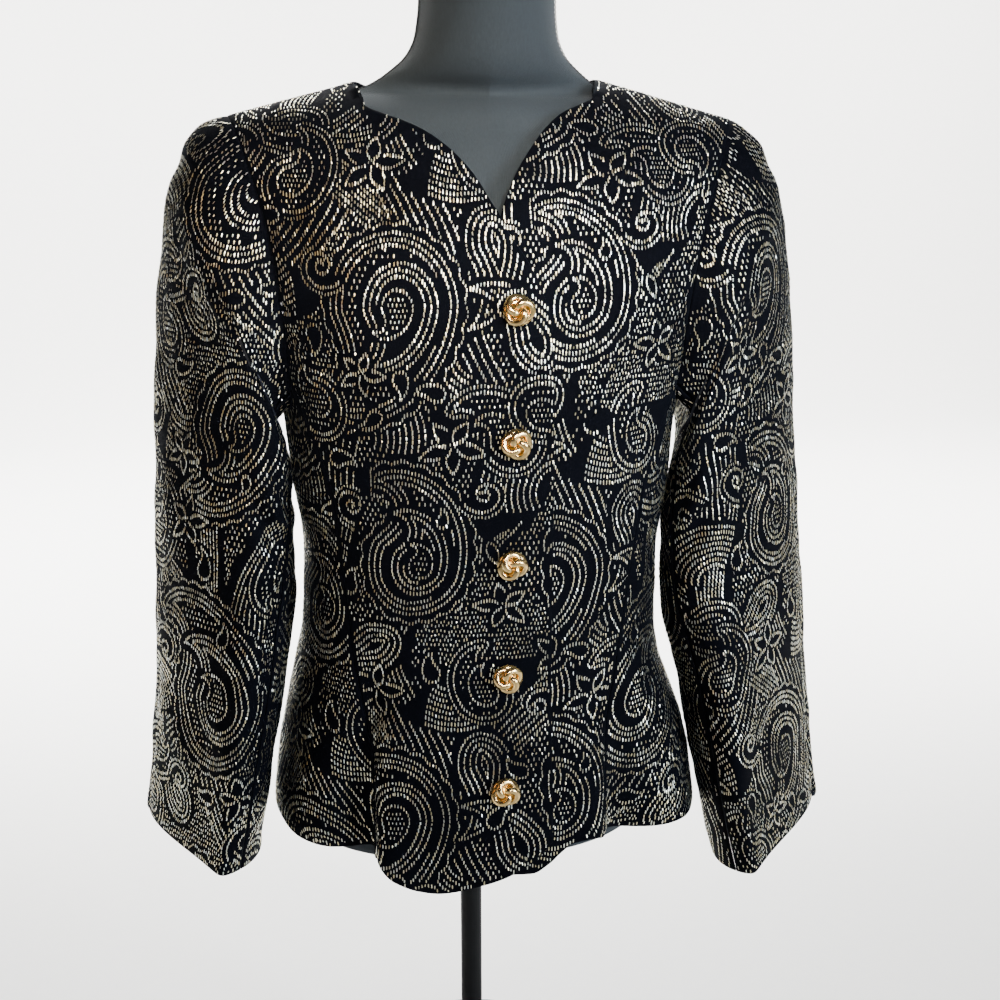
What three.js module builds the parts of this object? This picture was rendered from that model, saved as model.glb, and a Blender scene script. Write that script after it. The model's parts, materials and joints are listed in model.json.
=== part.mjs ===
// A women's fitted peplum jacket of velvet, buttoned right over left, worn by
// a limbless dress form on a short counter stand. Millimetres, +Z up, the
// front of the jacket faces -Y and the wearer's right is at -X.
//
// The cloth of the body is drawn on one smooth surface with two coordinates:
// an angle round the body, in degrees, 0 at the centre and 90 at the side
// seam, minus on the wearer's right; and a height up the cloth, which is the
// plain height up to the bust line and follows the curve over the shoulder
// above it. Each cut piece is the patch between four edges on that surface.

import * as THREE from "three";

// Cloth and seams
const WALL = 2.0;               // velvet with its backing
const SEAM = 0.3;               // gap at every seam and contact
const SEAM_ANGLE = 0.09;        // half a seam, in degrees round the body

// Main heights
const FORM_BOTTOM = 300;
const BUST_Z = 650;             // above this the cloth turns in to the shoulder
const LIFT = 235;               // length up the cloth of one radian of that turn
const SHOULDER_V = BUST_Z + LIFT * Math.PI / 2;
const LEAN = 0.024;             // the form stands this much out of plumb to +X

// Shoulder line
const SHOULDER_TIP = 190;       // across, at the end of the shoulder
const SHOULDER_TIP_Z = 861;
const SHOULDER_SLOPE = 0.27;
const SHOULDER_TILT = 0.013;    // the wearer's right shoulder stands a little higher
const SHOULDER_FLAT = 92;       // inside this the line levels off under the neck
const SHOULDER_Y = 5;           // the shoulder seam lies this far behind the side seam

// Section of the body
const SQUARE = 2.3;             // exponent of the rounded section
const BACK_FULL = 0.75;         // the upper back stays fuller than the chest

// Closing edge and buttons
const BUTTON_X = 15;
const LAP = { topX: 41, topZ: 705, slope: 0.033 };
const UNDERLAP_X = -13;         // hidden edge of the left front
const LAP_STEP = WALL + 1.2;    // the left front lies this much further in
const LAP_BLEND = 42;           // past the edge, the left front comes level again over this
const LAP_START = 2.5;          // degrees past the edge where it begins to
const BUTTON_Z = [737.5, 645.5, 553.5, 461.5, 369.5];
const BUTTON = {
  radius: 12.6, height: 9.4, shank: 3.2, standoff: 1.2, strands: 3, swirl: 1.25,
  rim: 2.6, backShare: 0.8, backRise: 0.6, relief: 0.07, strandRise: 0.7,
};

// Stand
const POLE_RADIUS = 9;
const BASE = { radius: 138, thick: 9, edge: 3, boss: 21, bossTop: 30 };

// Half-widths and depths of the jacket's body at each height
const BODY = table(["z", "right", "left", "front", "back"], [
  [280, 164, 190, 121, 117],
  [320, 163, 186, 119, 115],
  [365, 159, 177, 116, 111],
  [400, 152, 166, 113, 106],
  [440, 145, 151, 111, 100],
  [470, 139, 145, 111, 97],
  [500, 137, 144, 113, 96],
  [535, 137, 144, 116, 98],
  [600, 146, 149, 122, 104],
  [650, 152, 153, 124, 110],
  [700, 163, 164, 124, 112],
  [740, 176, 176, 124, 112],
  [800, 194, 194, 124, 111],
  [862, 213, 213, 124, 110],
  [900, 224, 224, 124, 110],
]);

// Upright folds of the peplum: where round the body, how wide, how deep at
// the hem (minus goes in) and the height where each starts
const FOLD_HEM = 290;           // height at which a fold has its full depth
const FOLD_POWER = 1.4;         // folds deepen faster towards the hem
const FOLD_NARROW = 0.75;       // a fold is this much narrower where it starts
const FOLDS = rows(["face", "angle", "width", "depth", "top"], [
  ["front", -35, 6.5, -27, 500],
  ["front", -24, 6.0, 5, 480],
  ["front", -56, 13, 7, 470],
  ["front", 37, 7.5, -25, 500],
  ["front", 24, 6.5, 4, 480],
  ["front", 58, 12, 7, 470],
  ["back", -31, 8, -17, 500],
  ["back", 31, 8, -17, 500],
  ["back", -12, 9, 5, 480],
  ["back", 12, 9, 5, 480],
  ["back", -58, 14, 7, 470],
  ["back", 58, 14, 7, 470],
]);

// Front and back princess seams: across from the centre, at each height
const FRONT_SEAM = table(["z", "right", "left"], [
  [280, 88, 103],
  [360, 90, 102],
  [420, 94, 102],
  [470, 99, 104],
  [530, 106, 110],
  [600, 114, 117],
  [645, 126, 129],
  [668, 145, 145],
]);
const BACK_SEAM = table(["z", "right", "left"], [
  [280, 92, 100],
  [360, 84, 90],
  [420, 73, 77],
  [470, 66, 68],
  [530, 70, 72],
  [600, 88, 90],
  [660, 112, 112],
  [710, 152, 152],
]);

// Armhole: share of the way up from the side seam, angle round the body and
// turn over the shoulder in degrees
const ARMHOLE = {
  front: table(["up", "angle", "turn"], [
    [0, 90, 0.6],
    [0.12, 73, 1.2],
    [0.22, 66, 3.8],
    [0.32, 63.6, 9],
    [0.45, 59, 17],
    [0.6, 55.2, 28],
    [0.75, 54.3, 42],
    [0.9, 56.4, 64],
    [1, 60, 90],
  ]),
  back: table(["up", "angle", "turn"], [
    [0, 90, 0.6],
    [0.12, 76, 1.6],
    [0.22, 70.5, 5],
    [0.32, 67.8, 10.5],
    [0.45, 63.8, 19],
    [0.6, 60.4, 30],
    [0.75, 58.6, 44],
    [0.9, 58.4, 65],
    [1, 60, 90],
  ]),
};
const FRONT_JOIN = 0.25;        // where the princess seams run into the armhole
const BACK_JOIN = 0.4;

// Hem heights across each piece, from its edge nearer the centre
const HEM = {
  front_right: curve([[0, 323], [0.07, 312], [0.15, 303], [0.25, 295], [0.4, 287.5], [0.54, 285], [0.66, 287],
    [0.8, 295], [0.9, 304], [1, 311]]),
  front_left: curve([[0, 318], [0.1, 305], [0.22, 297], [0.38, 296], [0.5, 303], [0.58, 311], [0.68, 319],
    [0.82, 321], [1, 317]]),
  side_front_right: curve([[0, 309], [0.3, 315], [0.6, 318], [1, 316]]),
  side_front_left: curve([[0, 317], [0.4, 314], [1, 306]]),
  side_back_right: curve([[0, 304], [0.5, 310], [1, 316]]),
  side_back_left: curve([[0, 301], [0.5, 302], [1, 306]]),
  back_right: curve([[0, 299], [1, 304]]),
  back_left: curve([[0, 299], [1, 301]]),
};

// Neck edges of the fronts, across and height, from the closing edge to the
// shoulder, and of the back from its centre
const NECK = {
  front_right: [[41, 705], [39, 728], [33.5, 748], [22, 771], [9.5, 789], [-1.5, 808], [-12, 825],
    [-25, 840], [-39, 851.5], [-56, 861], [-75, 867.5], [-90, 874], [-98, null]],
  front_left: [[-13, 715], [-12, 738], [-7, 765], [0, 789], [8, 811], [17, 829], [29, 845],
    [43, 859], [56, 868], [70, 873], [80, 878], [86, null]],
  back_right: [[0, 876], [-30, 877], [-62, 880.5], [-86, 884], [-98, null]],
  back_left: [[0, 876], [30, 877], [56, 880], [76, 884], [86, null]],
};

// Sleeves: inner and outer edge of each ring, its front and back, how far its
// front is turned in towards the body, and how sharp its front crease is
const SLEEVE_COLUMNS = [
  "along", "innerX", "innerZ", "outerX", "outerZ", "front", "back", "skew", "tilt", "crease",
];
const SLEEVE = {
  right: table(SLEEVE_COLUMNS, [
    [0, 153, 652, 188.6, 860, 58, 66, 0, 0, 0],
    [0.04, 157, 646, 206, 855, 62, 68, 1, 0, 0],
    [0.08, 160, 640, 218, 843, 65, 69, 3, 0, 0],
    [0.13, 159, 630, 227, 822, 68, 69, 7, 0, 0],
    [0.2, 154, 610, 236, 790, 71, 67, 19, 2, 0.05],
    [0.3, 151, 580, 238, 735, 73, 62, 31, 3, 0.12],
    [0.42, 149, 545, 243, 665, 73, 56, 30, 4, 0.2],
    [0.55, 147, 497, 249, 580, 74, 49, 23, 6, 0.35],
    [0.7, 154, 431, 253, 482, 77, 41, 20, 10, 0.45],
    [0.85, 166, 357, 259, 384, 80, 35, 18, 15, 0.55],
    [1, 176, 285, 270, 297, 82, 30, 16, 19, 0.6],
  ]),
  left: table(SLEEVE_COLUMNS, [
    [0, 154, 652, 188.6, 860, 58, 66, 0, 0, 0],
    [0.04, 158, 646, 201, 852, 62, 68, 1, 0, 0],
    [0.08, 161, 641, 213, 840, 65, 69, 2, 0, 0],
    [0.13, 161, 631, 223, 820, 67, 69, 5, 0, 0],
    [0.2, 157, 610, 233, 787, 69, 67, 16, 2, 0.05],
    [0.3, 153, 574, 242, 732, 71, 62, 31, 4, 0.12],
    [0.42, 150, 535, 251, 655, 71, 56, 32, 6, 0.2],
    [0.55, 153, 483, 261, 570, 72, 49, 31, 10, 0.3],
    [0.7, 169, 413, 277, 468, 75, 40, 26, 15, 0.45],
    [0.85, 186, 336, 291, 366, 78, 30, 26, 20, 0.55],
    [1, 205, 259, 306, 274, 80, 21, 26, 24, 0.6],
  ]),
};
const UNDERARM_GAP = 1.2;       // the sleeve's edge stands this far over the side panels
const CAP_END = 0.3;            // the sleeve keeps the armhole's shape down to here
// The two pieces of a sleeve meet where the princess seams run into the armhole
const SLEEVE_SEAMS = { front: FRONT_JOIN / 2, back: 1 - BACK_JOIN / 2 };
const SEAM_ROUND = 0.0018;      // half a sleeve seam, as a share of the way round

// Elbow and cap folds in the sleeves
const SLEEVE_FOLDS = rows(["round", "along", "width", "length", "depth"], [
  [0.2, 0.47, 0.09, 0.035, -4],
  [0.27, 0.55, 0.1, 0.03, -4],
  [0.19, 0.63, 0.09, 0.035, -3.5],
  [0.34, 0.38, 0.08, 0.05, -3],
  [0.12, 0.33, 0.07, 0.06, -4],
]);

// Dress form: half-width, depth to the front and back and squareness
const FORM = table(["z", "half", "front", "back", "square"], [
  [300, 138, 96, 90, 2.2],
  [303, 142, 100, 94, 2.2],
  [340, 142, 102, 97, 2.2],
  [400, 132, 99, 92, 2.2],
  [440, 124, 97, 86, 2.2],
  [475, 120, 97, 83, 2.2],
  [520, 124, 101, 84, 2.2],
  [580, 132, 107, 91, 2.2],
  [640, 138, 110, 98, 2.2],
  [690, 143, 104, 101, 2.2],
  [740, 149, 95, 100, 2.15],
  [785, 154, 85, 94, 2.05],
  [820, 156, 75, 82, 1.9],
  [845, 153, 65, 70, 1.68],
  [857, 149, 57, 63, 1.5],
  [865.8, 144.3, 53, 60, 1.36],
  [871.9, 132, 49, 56, 1.26],
  [876.2, 116, 44, 53, 1.2],
  [879, 100, 40, 50, 1.15],
  [883.9, 86, 41, 47, 1.18],
  [892, 73, 50, 44, 1.45],
  [906, 58, 57, 40, 1.85],
  [920, 52, 60, 35, 2],
  [945, 49.5, 64, 29, 2],
  [962, 49.5, 66, 26, 2],
  [965, 47, 64, 24, 2],
]);
const FORM_SEGMENTS = 28;
const FORM_TILT = [760, 855, 882, 920];  // the form takes the shoulders' tilt between these heights

// Small helpers

function table(columns, lines) {
  const key = columns[0];
  const result = { key, columns };
  for (let c = 1; c < columns.length; c++) {
    result[columns[c]] = curve(lines.map((line) => [line[0], line[c]]));
  }
  result.at = lines.map((line) => line[0]);
  return result;
}

function rows(columns, lines) {
  return lines.map((line) => Object.fromEntries(columns.map((name, c) => [name, line[c]])));
}

function mix(a, b, share) {
  return a + (b - a) * share;
}

function clamp(value, low, high) {
  return Math.min(Math.max(value, low), high);
}

function smooth(value, from, to) {
  const share = clamp((value - from) / (to - from), 0, 1);
  return share * share * (3 - 2 * share);
}

function bell(distance, width) {
  return Math.exp(-((distance / width) ** 2));
}

// A smooth curve through points that never overshoots them
function curve(points) {
  const slopes = points.slice(1).map(([x, y], i) => (y - points[i][1]) / (x - points[i][0]));
  const tangents = points.map((_, i) => {
    if (i === 0) return slopes[0];
    if (i === points.length - 1) return slopes[i - 1];
    const [before, after] = [slopes[i - 1], slopes[i]];
    return before * after <= 0 ? 0 : 2 * before * after / (before + after);
  });
  return (x) => {
    const last = points.length - 1;
    if (x <= points[0][0]) return points[0][1];
    if (x >= points[last][0]) return points[last][1];
    let i = 0;
    while (x > points[i + 1][0]) i++;
    const width = points[i + 1][0] - points[i][0];
    const u = (x - points[i][0]) / width;
    const rest = 1 - u;
    return points[i][1] * (1 + 2 * u) * rest * rest + points[i + 1][1] * u * u * (3 - 2 * u)
      + width * (tangents[i] * u * rest * rest - tangents[i + 1] * u * u * rest);
  };
}

// A smooth line through points of any number of numbers, by share of its length
function path(points) {
  const lengths = [0];
  for (let i = 1; i < points.length; i++) {
    lengths.push(lengths[i - 1] + Math.hypot(...points[i].map((value, c) => value - points[i - 1][c])));
  }
  const total = lengths[lengths.length - 1];
  const parts = points[0].map((_, c) => curve(points.map((point, i) => [lengths[i] / total, point[c]])));
  return (share) => parts.map((part) => part(share));
}

// The surface of the body

function shoulderZ(x) {
  const across = Math.abs(x);
  const line = SHOULDER_TIP_Z + SHOULDER_SLOPE * (SHOULDER_TIP - across);
  const inner = Math.max(SHOULDER_FLAT - across, 0);
  return line - SHOULDER_SLOPE * inner * inner / (2 * SHOULDER_FLAT) - SHOULDER_TILT * x;
}

function halfWidth(x, z) {
  return x < 0 ? BODY.right(z) : BODY.left(z);
}

function angleOf(x, z) {
  const share = clamp(Math.abs(x) / halfWidth(x, z), 0, 1);
  return Math.sign(x) * THREE.MathUtils.radToDeg(Math.asin(share ** (SQUARE / 2)));
}

function heightOf(x, z) {
  if (z <= BUST_Z) return z;
  return BUST_Z + LIFT * Math.asin(clamp((z - BUST_Z) / (shoulderZ(x) - BUST_Z), 0, 1));
}

function onSurface(x, z) {
  return [angleOf(x, z), heightOf(x, z)];
}

function foldDepth(face, angle, z) {
  let depth = 0;
  for (const fold of FOLDS) {
    if (fold.face !== face) continue;
    const drop = clamp((fold.top - z) / (fold.top - FOLD_HEM), 0, 1.05);
    const width = fold.width * mix(FOLD_NARROW, 1, drop);
    depth += fold.depth * drop ** FOLD_POWER * bell(angle - fold.angle, width);
  }
  return depth;
}

function bodyPoint(face, angle, height, inset = 0) {
  const turn = Math.max(0, (height - BUST_Z) / LIFT);
  const radians = THREE.MathUtils.degToRad(Math.min(Math.abs(angle), 90));
  const side = Math.sign(angle) || 1;
  let z = Math.min(height, BUST_Z);
  let x = 0;
  for (let pass = 0; pass < 4; pass++) {
    x = side * halfWidth(side, z) * Math.sin(radians) ** (2 / SQUARE);
    if (turn > 0) z = BUST_Z + (shoulderZ(x) - BUST_Z) * Math.sin(turn);
  }
  const round = Math.cos(radians) ** (2 / SQUARE);
  const taper = Math.max(Math.cos(turn), 0);
  const front = face === "front";
  const depth = front ? BODY.front(z) * round * taper : BODY.back(z) * round * taper ** BACK_FULL;
  const middle = SHOULDER_Y * clamp((z - BUST_Z) / (SHOULDER_TIP_Z - BUST_Z), 0, 1);
  const radius = Math.hypot(x, depth) || 1;
  const scale = 1 + (foldDepth(face, angle, z) - inset) / radius;
  const y = middle + (front ? -1 : 1) * (depth * scale + SEAM / 2);
  return new THREE.Vector3(x * scale, y, z);
}

// How far in the left front lies where the right front laps over it
function lapInset(angle, height) {
  const z = Math.min(height, LAP.topZ);
  const edge = angleOf(lapX(z), z);
  const blend = angleOf(lapX(z) + LAP_BLEND, z);
  const turn = Math.max(0, (height - BUST_Z) / LIFT);
  return LAP_STEP / Math.cos(Math.min(turn, 1)) * (1 - smooth(angle, edge + LAP_START, blend));
}

function lapX(z) {
  return LAP.topX + LAP.slope * (LAP.topZ - z);
}

function armholeAt(face, side, up) {
  const line = ARMHOLE[face];
  return [side * line.angle(up), BUST_Z + LIFT * THREE.MathUtils.degToRad(line.turn(up))];
}

// Every cut piece of the body is a patch between four edges, each a function
// from 0 to 1: bottom and top run from the centre out, inner and outer from
// the hem up. The rows of two pieces that share a seam fall on the same heights

const LOWER_ROWS = 15;
const UPPER_ROWS = { front: 8, back: 7 };

function seamLine(seam, side, hemZ, topPoint, offset) {
  return (share) => {
    const topZ = seam.at[seam.at.length - 1];
    const z = mix(hemZ, topZ, share);
    const x = side * (side < 0 ? seam.right(z) : seam.left(z));
    const angle = mix(angleOf(x, z), topPoint[0], smooth(share, 0.8, 1));
    return [angle + offset, mix(heightOf(x, z), topPoint[1], smooth(share, 0.8, 1))];
  };
}

function patch(edges, s, t) {
  const [bottom, top, inner, outer] = [edges.bottom(s), edges.top(s), edges.inner(t), edges.outer(t)];
  const corners = [edges.bottom(0), edges.bottom(1), edges.top(0), edges.top(1)];
  return [0, 1].map((c) => (1 - t) * bottom[c] + t * top[c] + (1 - s) * inner[c] + s * outer[c]
    - (1 - s) * (1 - t) * corners[0][c] - s * (1 - t) * corners[1][c]
    - (1 - s) * t * corners[2][c] - s * t * corners[3][c]);
}

function bottomEdge(hem, inner, outer) {
  return (s) => [mix(inner(0)[0], outer(0)[0], s), hem(s)];
}

// Top edge of a front or back: the neck edge, then the shoulder seam
function topEdge(neck, side, neckShare) {
  const neckLine = path(neck.map(([x, z]) => onSurface(x, z ?? shoulderZ(x))));
  const start = neckLine(1);
  const tip = armholeAt("front", side, 1);
  return (s) => {
    if (s <= neckShare) return neckLine(s / neckShare);
    return [mix(start[0], tip[0], (s - neckShare) / (1 - neckShare)), SHOULDER_V];
  };
}

function mainPiece(face, side, hem, seam, join, neck, [neckColumns, shoulderColumns], innerX) {
  const columns = neckColumns + shoulderColumns;
  const total = LOWER_ROWS + UPPER_ROWS[face];
  const split = LOWER_ROWS / total;
  const joinPoint = armholeAt(face, side, join);
  const lower = seamLine(seam, side, hem(1), joinPoint, -side * SEAM_ANGLE);
  const top = topEdge(neck, side, neckColumns / columns);
  const topZ = neck[0][1];
  const outer = (t) => {
    if (t <= split) return lower(t / split);
    const up = mix(join, 1, (t - split) / (1 - split));
    const [angle, height] = armholeAt(face, side, up);
    return [angle - side * SEAM_ANGLE * (1 - (t - split) / (1 - split)), height];
  };
  const inner = (t) => {
    const z = mix(hem(0), topZ, t);
    return onSurface(innerX(z), z);
  };
  const bottom = bottomEdge(hem, inner, outer);
  return { face, edges: { bottom, top, inner, outer }, columns, rows: total };
}

function sidePiece(face, side, hem, seam, join, columns) {
  const joinPoint = armholeAt(face, side, join);
  const inner = seamLine(seam, side, hem(0), joinPoint, side * SEAM_ANGLE);
  const sideTop = armholeAt(face, side, 0);
  const outer = (t) => [side * 90, mix(hem(1), sideTop[1], t)];
  const top = (s) => {
    const [angle, height] = armholeAt(face, side, join * (1 - s));
    return [angle + side * SEAM_ANGLE * (1 - s), height];
  };
  const bottom = bottomEdge(hem, inner, outer);
  return { face, edges: { bottom, top, inner, outer }, columns, rows: LOWER_ROWS };
}

const frontPieces = {
  front_right: mainPiece("front", -1, HEM.front_right, FRONT_SEAM, FRONT_JOIN, NECK.front_right, [10, 4],
    lapX),
  front_left: mainPiece("front", 1, HEM.front_left, FRONT_SEAM, FRONT_JOIN, NECK.front_left, [8, 4],
    () => UNDERLAP_X),
  side_front_right: sidePiece("front", -1, HEM.side_front_right, FRONT_SEAM, FRONT_JOIN, 5),
  side_front_left: sidePiece("front", 1, HEM.side_front_left, FRONT_SEAM, FRONT_JOIN, 5),
};
const backPieces = {
  back_right: mainPiece("back", -1, HEM.back_right, BACK_SEAM, BACK_JOIN, NECK.back_right, [5, 4],
    () => -SEAM / 2),
  back_left: mainPiece("back", 1, HEM.back_left, BACK_SEAM, BACK_JOIN, NECK.back_left, [5, 4],
    () => SEAM / 2),
  side_back_right: sidePiece("back", -1, HEM.side_back_right, BACK_SEAM, BACK_JOIN, 5),
  side_back_left: sidePiece("back", 1, HEM.side_back_left, BACK_SEAM, BACK_JOIN, 5),
};

function piecePoint(name, piece, s, t) {
  const [angle, height] = patch(piece.edges, s, t);
  const inset = name === "front_left" ? lapInset(angle, height) : 0;
  return bodyPoint(piece.face, angle, height, inset);
}

// Sleeves: rings from the armhole to the cuff, round is 0 at the underarm,
// 0.25 in front, 0.5 outside and 0.75 behind

function armholePoint(side, round) {
  const face = round <= 0.5 ? "front" : "back";
  const up = round <= 0.5 ? 2 * round : 2 * (1 - round);
  const [angle, height] = armholeAt(face, side, up);
  const point = bodyPoint(face, angle, height);
  if (up < 1e-6 || up > 1 - 1e-6) point.y = SHOULDER_Y * (up > 0.5 ? 1 : 0);
  point.x += side * 2.5 * SEAM;
  point.z += UNDERARM_GAP * (1 - smooth(up, 0, 0.35));
  return point;
}

function ringPoint(ring, side, round, along) {
  const turn = 2 * Math.PI * round;
  const out = -Math.cos(turn);
  const ahead = Math.sin(turn);
  const pinch = 1 - ring.crease(along) * Math.max(ahead, 0) ** 2;
  const halfX = (ring.outerX(along) - ring.innerX(along)) / 2;
  const halfZ = (ring.outerZ(along) - ring.innerZ(along)) / 2;
  const x = ring.innerX(along) + halfX + out * pinch * halfX - ahead * ring.skew(along);
  const reach = ahead > 0 ? ring.front(along) : ring.back(along);
  const y = -ahead * reach + out * ring.tilt(along);
  const z = ring.innerZ(along) + halfZ + out * pinch * halfZ;
  return new THREE.Vector3(side * x, y, z);
}

function sleevePoint(side, round, along) {
  const ring = side < 0 ? SLEEVE.right : SLEEVE.left;
  const point = ringPoint(ring, side, round, along);
  const keep = 1 - smooth(along, 0, CAP_END);
  if (keep > 0) {
    const shift = armholePoint(side, round).sub(ringPoint(ring, side, round, 0));
    point.addScaledVector(shift, keep);
  }
  let fold = 0;
  for (const row of SLEEVE_FOLDS) {
    const slant = along - row.along - 0.25 * (round - row.round);
    fold += row.depth * bell(round - row.round, row.width) * bell(slant, row.length);
  }
  if (fold !== 0) {
    const centre = sleeveCentre(side, along);
    const out = point.clone().sub(centre).setZ(0).normalize();
    point.addScaledVector(out, fold);
  }
  return point;
}

function sleeveCentre(side, along) {
  const ring = side < 0 ? SLEEVE.right : SLEEVE.left;
  const x = (ring.innerX(along) + ring.outerX(along)) / 2;
  const z = (ring.innerZ(along) + ring.outerZ(along)) / 2;
  return new THREE.Vector3(side * x, (ring.back(along) - ring.front(along)) / 2, z);
}

// The columns of the top piece fall on the rows of the front and the back
const sleevePieces = [];
for (const [sideName, side] of [["right", -1], ["left", 1]]) {
  const { front, back } = SLEEVE_SEAMS;
  sleevePieces.push({
    name: `sleeve_top_${sideName}`, side, turns: [front + SEAM_ROUND, 0.5, back - SEAM_ROUND],
    columns: [UPPER_ROWS.front, UPPER_ROWS.back],
  });
  sleevePieces.push({
    name: `sleeve_under_${sideName}`, side, turns: [back + SEAM_ROUND, 1, 1 + front - SEAM_ROUND],
    columns: [3, 3],
  });
}
const SLEEVE_ROWS = 20;

// Rings stand close together over the sleeve head and wider below
function sleeveAlong(t) {
  return t ** 1.35;
}

// Solids

// A cloth wall over a grid of points, with the inner face a wall's thickness in
function wall(pointAt, insideAt, columns, rowCount) {
  const outer = [];
  const inner = [];
  const step = 1e-4;
  for (let j = 0; j <= rowCount; j++) {
    for (let i = 0; i <= columns; i++) {
      const [s, t] = [i / columns, j / rowCount];
      const point = pointAt(s, t);
      const across = pointAt(Math.min(s + step, 1), t).sub(pointAt(Math.max(s - step, 0), t));
      const up = pointAt(s, Math.min(t + step, 1)).sub(pointAt(s, Math.max(t - step, 0)));
      const normal = across.cross(up).normalize();
      if (normal.dot(point.clone().sub(insideAt(point, s, t))) < 0) normal.negate();
      outer.push(point);
      inner.push(point.clone().addScaledVector(normal, -WALL));
    }
  }
  const count = outer.length;
  const at = (i, j) => j * (columns + 1) + i;
  const faces = [];
  const quad = (a, b, c, d) => faces.push(a, b, c, a, c, d);
  for (let j = 0; j < rowCount; j++) {
    for (let i = 0; i < columns; i++) {
      quad(at(i, j), at(i + 1, j), at(i + 1, j + 1), at(i, j + 1));
      quad(count + at(i, j), count + at(i, j + 1), count + at(i + 1, j + 1), count + at(i + 1, j));
    }
  }
  const rim = [];
  for (let i = 0; i < columns; i++) rim.push(at(i, 0));
  for (let j = 0; j < rowCount; j++) rim.push(at(columns, j));
  for (let i = columns; i > 0; i--) rim.push(at(i, rowCount));
  for (let j = rowCount; j > 0; j--) rim.push(at(0, j));
  rim.forEach((a, k) => {
    const b = rim[(k + 1) % rim.length];
    quad(b, a, count + a, count + b);
  });
  return solid([...outer, ...inner], faces);
}

// A closed mesh from points and triangles, turned so that its faces point out
function solid(points, faces) {
  let volume = 0;
  for (let f = 0; f < faces.length; f += 3) {
    const [a, b, c] = [points[faces[f]], points[faces[f + 1]], points[faces[f + 2]]];
    volume += a.dot(b.clone().cross(c));
  }
  if (volume < 0) faces.reverse();
  const geometry = new THREE.BufferGeometry();
  geometry.setAttribute("position", new THREE.Float32BufferAttribute(points.flatMap((p) => p.toArray()), 3));
  geometry.setIndex(faces);
  geometry.computeVertexNormals();
  return geometry;
}

// Rings of points closed by a centre point at each end
function rings(ringList, first, last) {
  const segments = ringList[0].length;
  const points = [first, ...ringList.flat(), last];
  const at = (r, i) => 1 + r * segments + (i % segments);
  const faces = [];
  for (let i = 0; i < segments; i++) {
    faces.push(0, at(0, i + 1), at(0, i));
    for (let r = 0; r < ringList.length - 1; r++) {
      faces.push(at(r, i), at(r, i + 1), at(r + 1, i + 1), at(r, i), at(r + 1, i + 1), at(r + 1, i));
    }
    faces.push(points.length - 1, at(ringList.length - 1, i), at(ringList.length - 1, i + 1));
  }
  return solid(points, faces);
}

function leaned(geometry) {
  const position = geometry.getAttribute("position");
  for (let i = 0; i < position.count; i++) {
    const rise = Math.max(position.getZ(i) - FORM_BOTTOM, 0);
    position.setX(i, position.getX(i) + LEAN * rise);
  }
  return geometry;
}

function dressForm() {
  const ringList = FORM.at.map((z) => {
    const power = 2 / FORM.square(z);
    return Array.from({ length: FORM_SEGMENTS }, (_, i) => {
      const turn = 2 * Math.PI * i / FORM_SEGMENTS;
      const [ahead, out] = [Math.sin(turn), Math.cos(turn)];
      const depth = ahead > 0 ? -FORM.front(z) : FORM.back(z);
      const x = FORM.half(z) * Math.sign(out) * Math.abs(out) ** power;
      const middle = SHOULDER_Y * clamp((z - BUST_Z) / (SHOULDER_TIP_Z - BUST_Z), 0, 1);
      const [from, full, hold, end] = FORM_TILT;
      const tilt = SHOULDER_TILT * x * smooth(z, from, full) * (1 - smooth(z, hold, end));
      return new THREE.Vector3(x, middle + depth * Math.abs(ahead) ** power, z - tilt);
    });
  });
  const [low, high] = [FORM.at[0], FORM.at[FORM.at.length - 1]];
  const topY = (FORM.back(high) - FORM.front(high)) / 2;
  return leaned(rings(ringList, new THREE.Vector3(0, 0, low), new THREE.Vector3(0, topY, high)));
}

// A knot button: a dome of three fat strands wound round its middle, on a shank
function knotButton() {
  const { radius, height, shank, standoff, strands, swirl } = BUTTON;
  const segments = 18;
  const domeSteps = 4;
  const rimZ = standoff + BUTTON.rim;
  const profile = [[shank, 0, 0], [shank, standoff, 0]];
  profile.push([radius * BUTTON.backShare, standoff + BUTTON.backRise, 0]);
  for (let k = 0; k <= domeSteps; k++) {
    const lift = THREE.MathUtils.degToRad(-12 + 90 * k / domeSteps);
    profile.push([radius * Math.cos(lift), rimZ + (height - rimZ) * Math.sin(lift), 1]);
  }
  const ringList = profile.map(([r, z, relief]) => Array.from({ length: segments }, (_, i) => {
    const turn = 2 * Math.PI * i / segments;
    const wave = relief * Math.cos(strands * (turn + swirl * (1 - r / radius)));
    const grow = 1 + BUTTON.relief * wave;
    const rise = z + BUTTON.strandRise * wave;
    return new THREE.Vector3(r * grow * Math.cos(turn), r * grow * Math.sin(turn), rise);
  }));
  return rings(ringList, new THREE.Vector3(0, 0, 0), new THREE.Vector3(0, 0, height));
}

// Assembly

const model = new THREE.Group();
const velvet = new THREE.MeshStandardMaterial({ color: 0x15151a, roughness: 0.9, metalness: 0 });
const gold = new THREE.MeshStandardMaterial({ color: 0xc9a227, roughness: 0.3, metalness: 1 });
const jersey = new THREE.MeshStandardMaterial({ color: 0x59636f, roughness: 0.9, metalness: 0 });
const blackMetal = new THREE.MeshStandardMaterial({ color: 0x16161a, roughness: 0.5, metalness: 0.6 });

function add(name, geometry, material) {
  const mesh = new THREE.Mesh(geometry, material.clone());
  mesh.name = name;
  model.add(mesh);
  return mesh;
}

function insideBody(point) {
  return new THREE.Vector3(point.x * 0.6, 0, point.z - 45);
}

for (const [name, piece] of Object.entries({ ...frontPieces, ...backPieces })) {
  const geometry = wall((s, t) => piecePoint(name, piece, s, t), insideBody, piece.columns, piece.rows);
  add(name, leaned(geometry), velvet);
}

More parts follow.
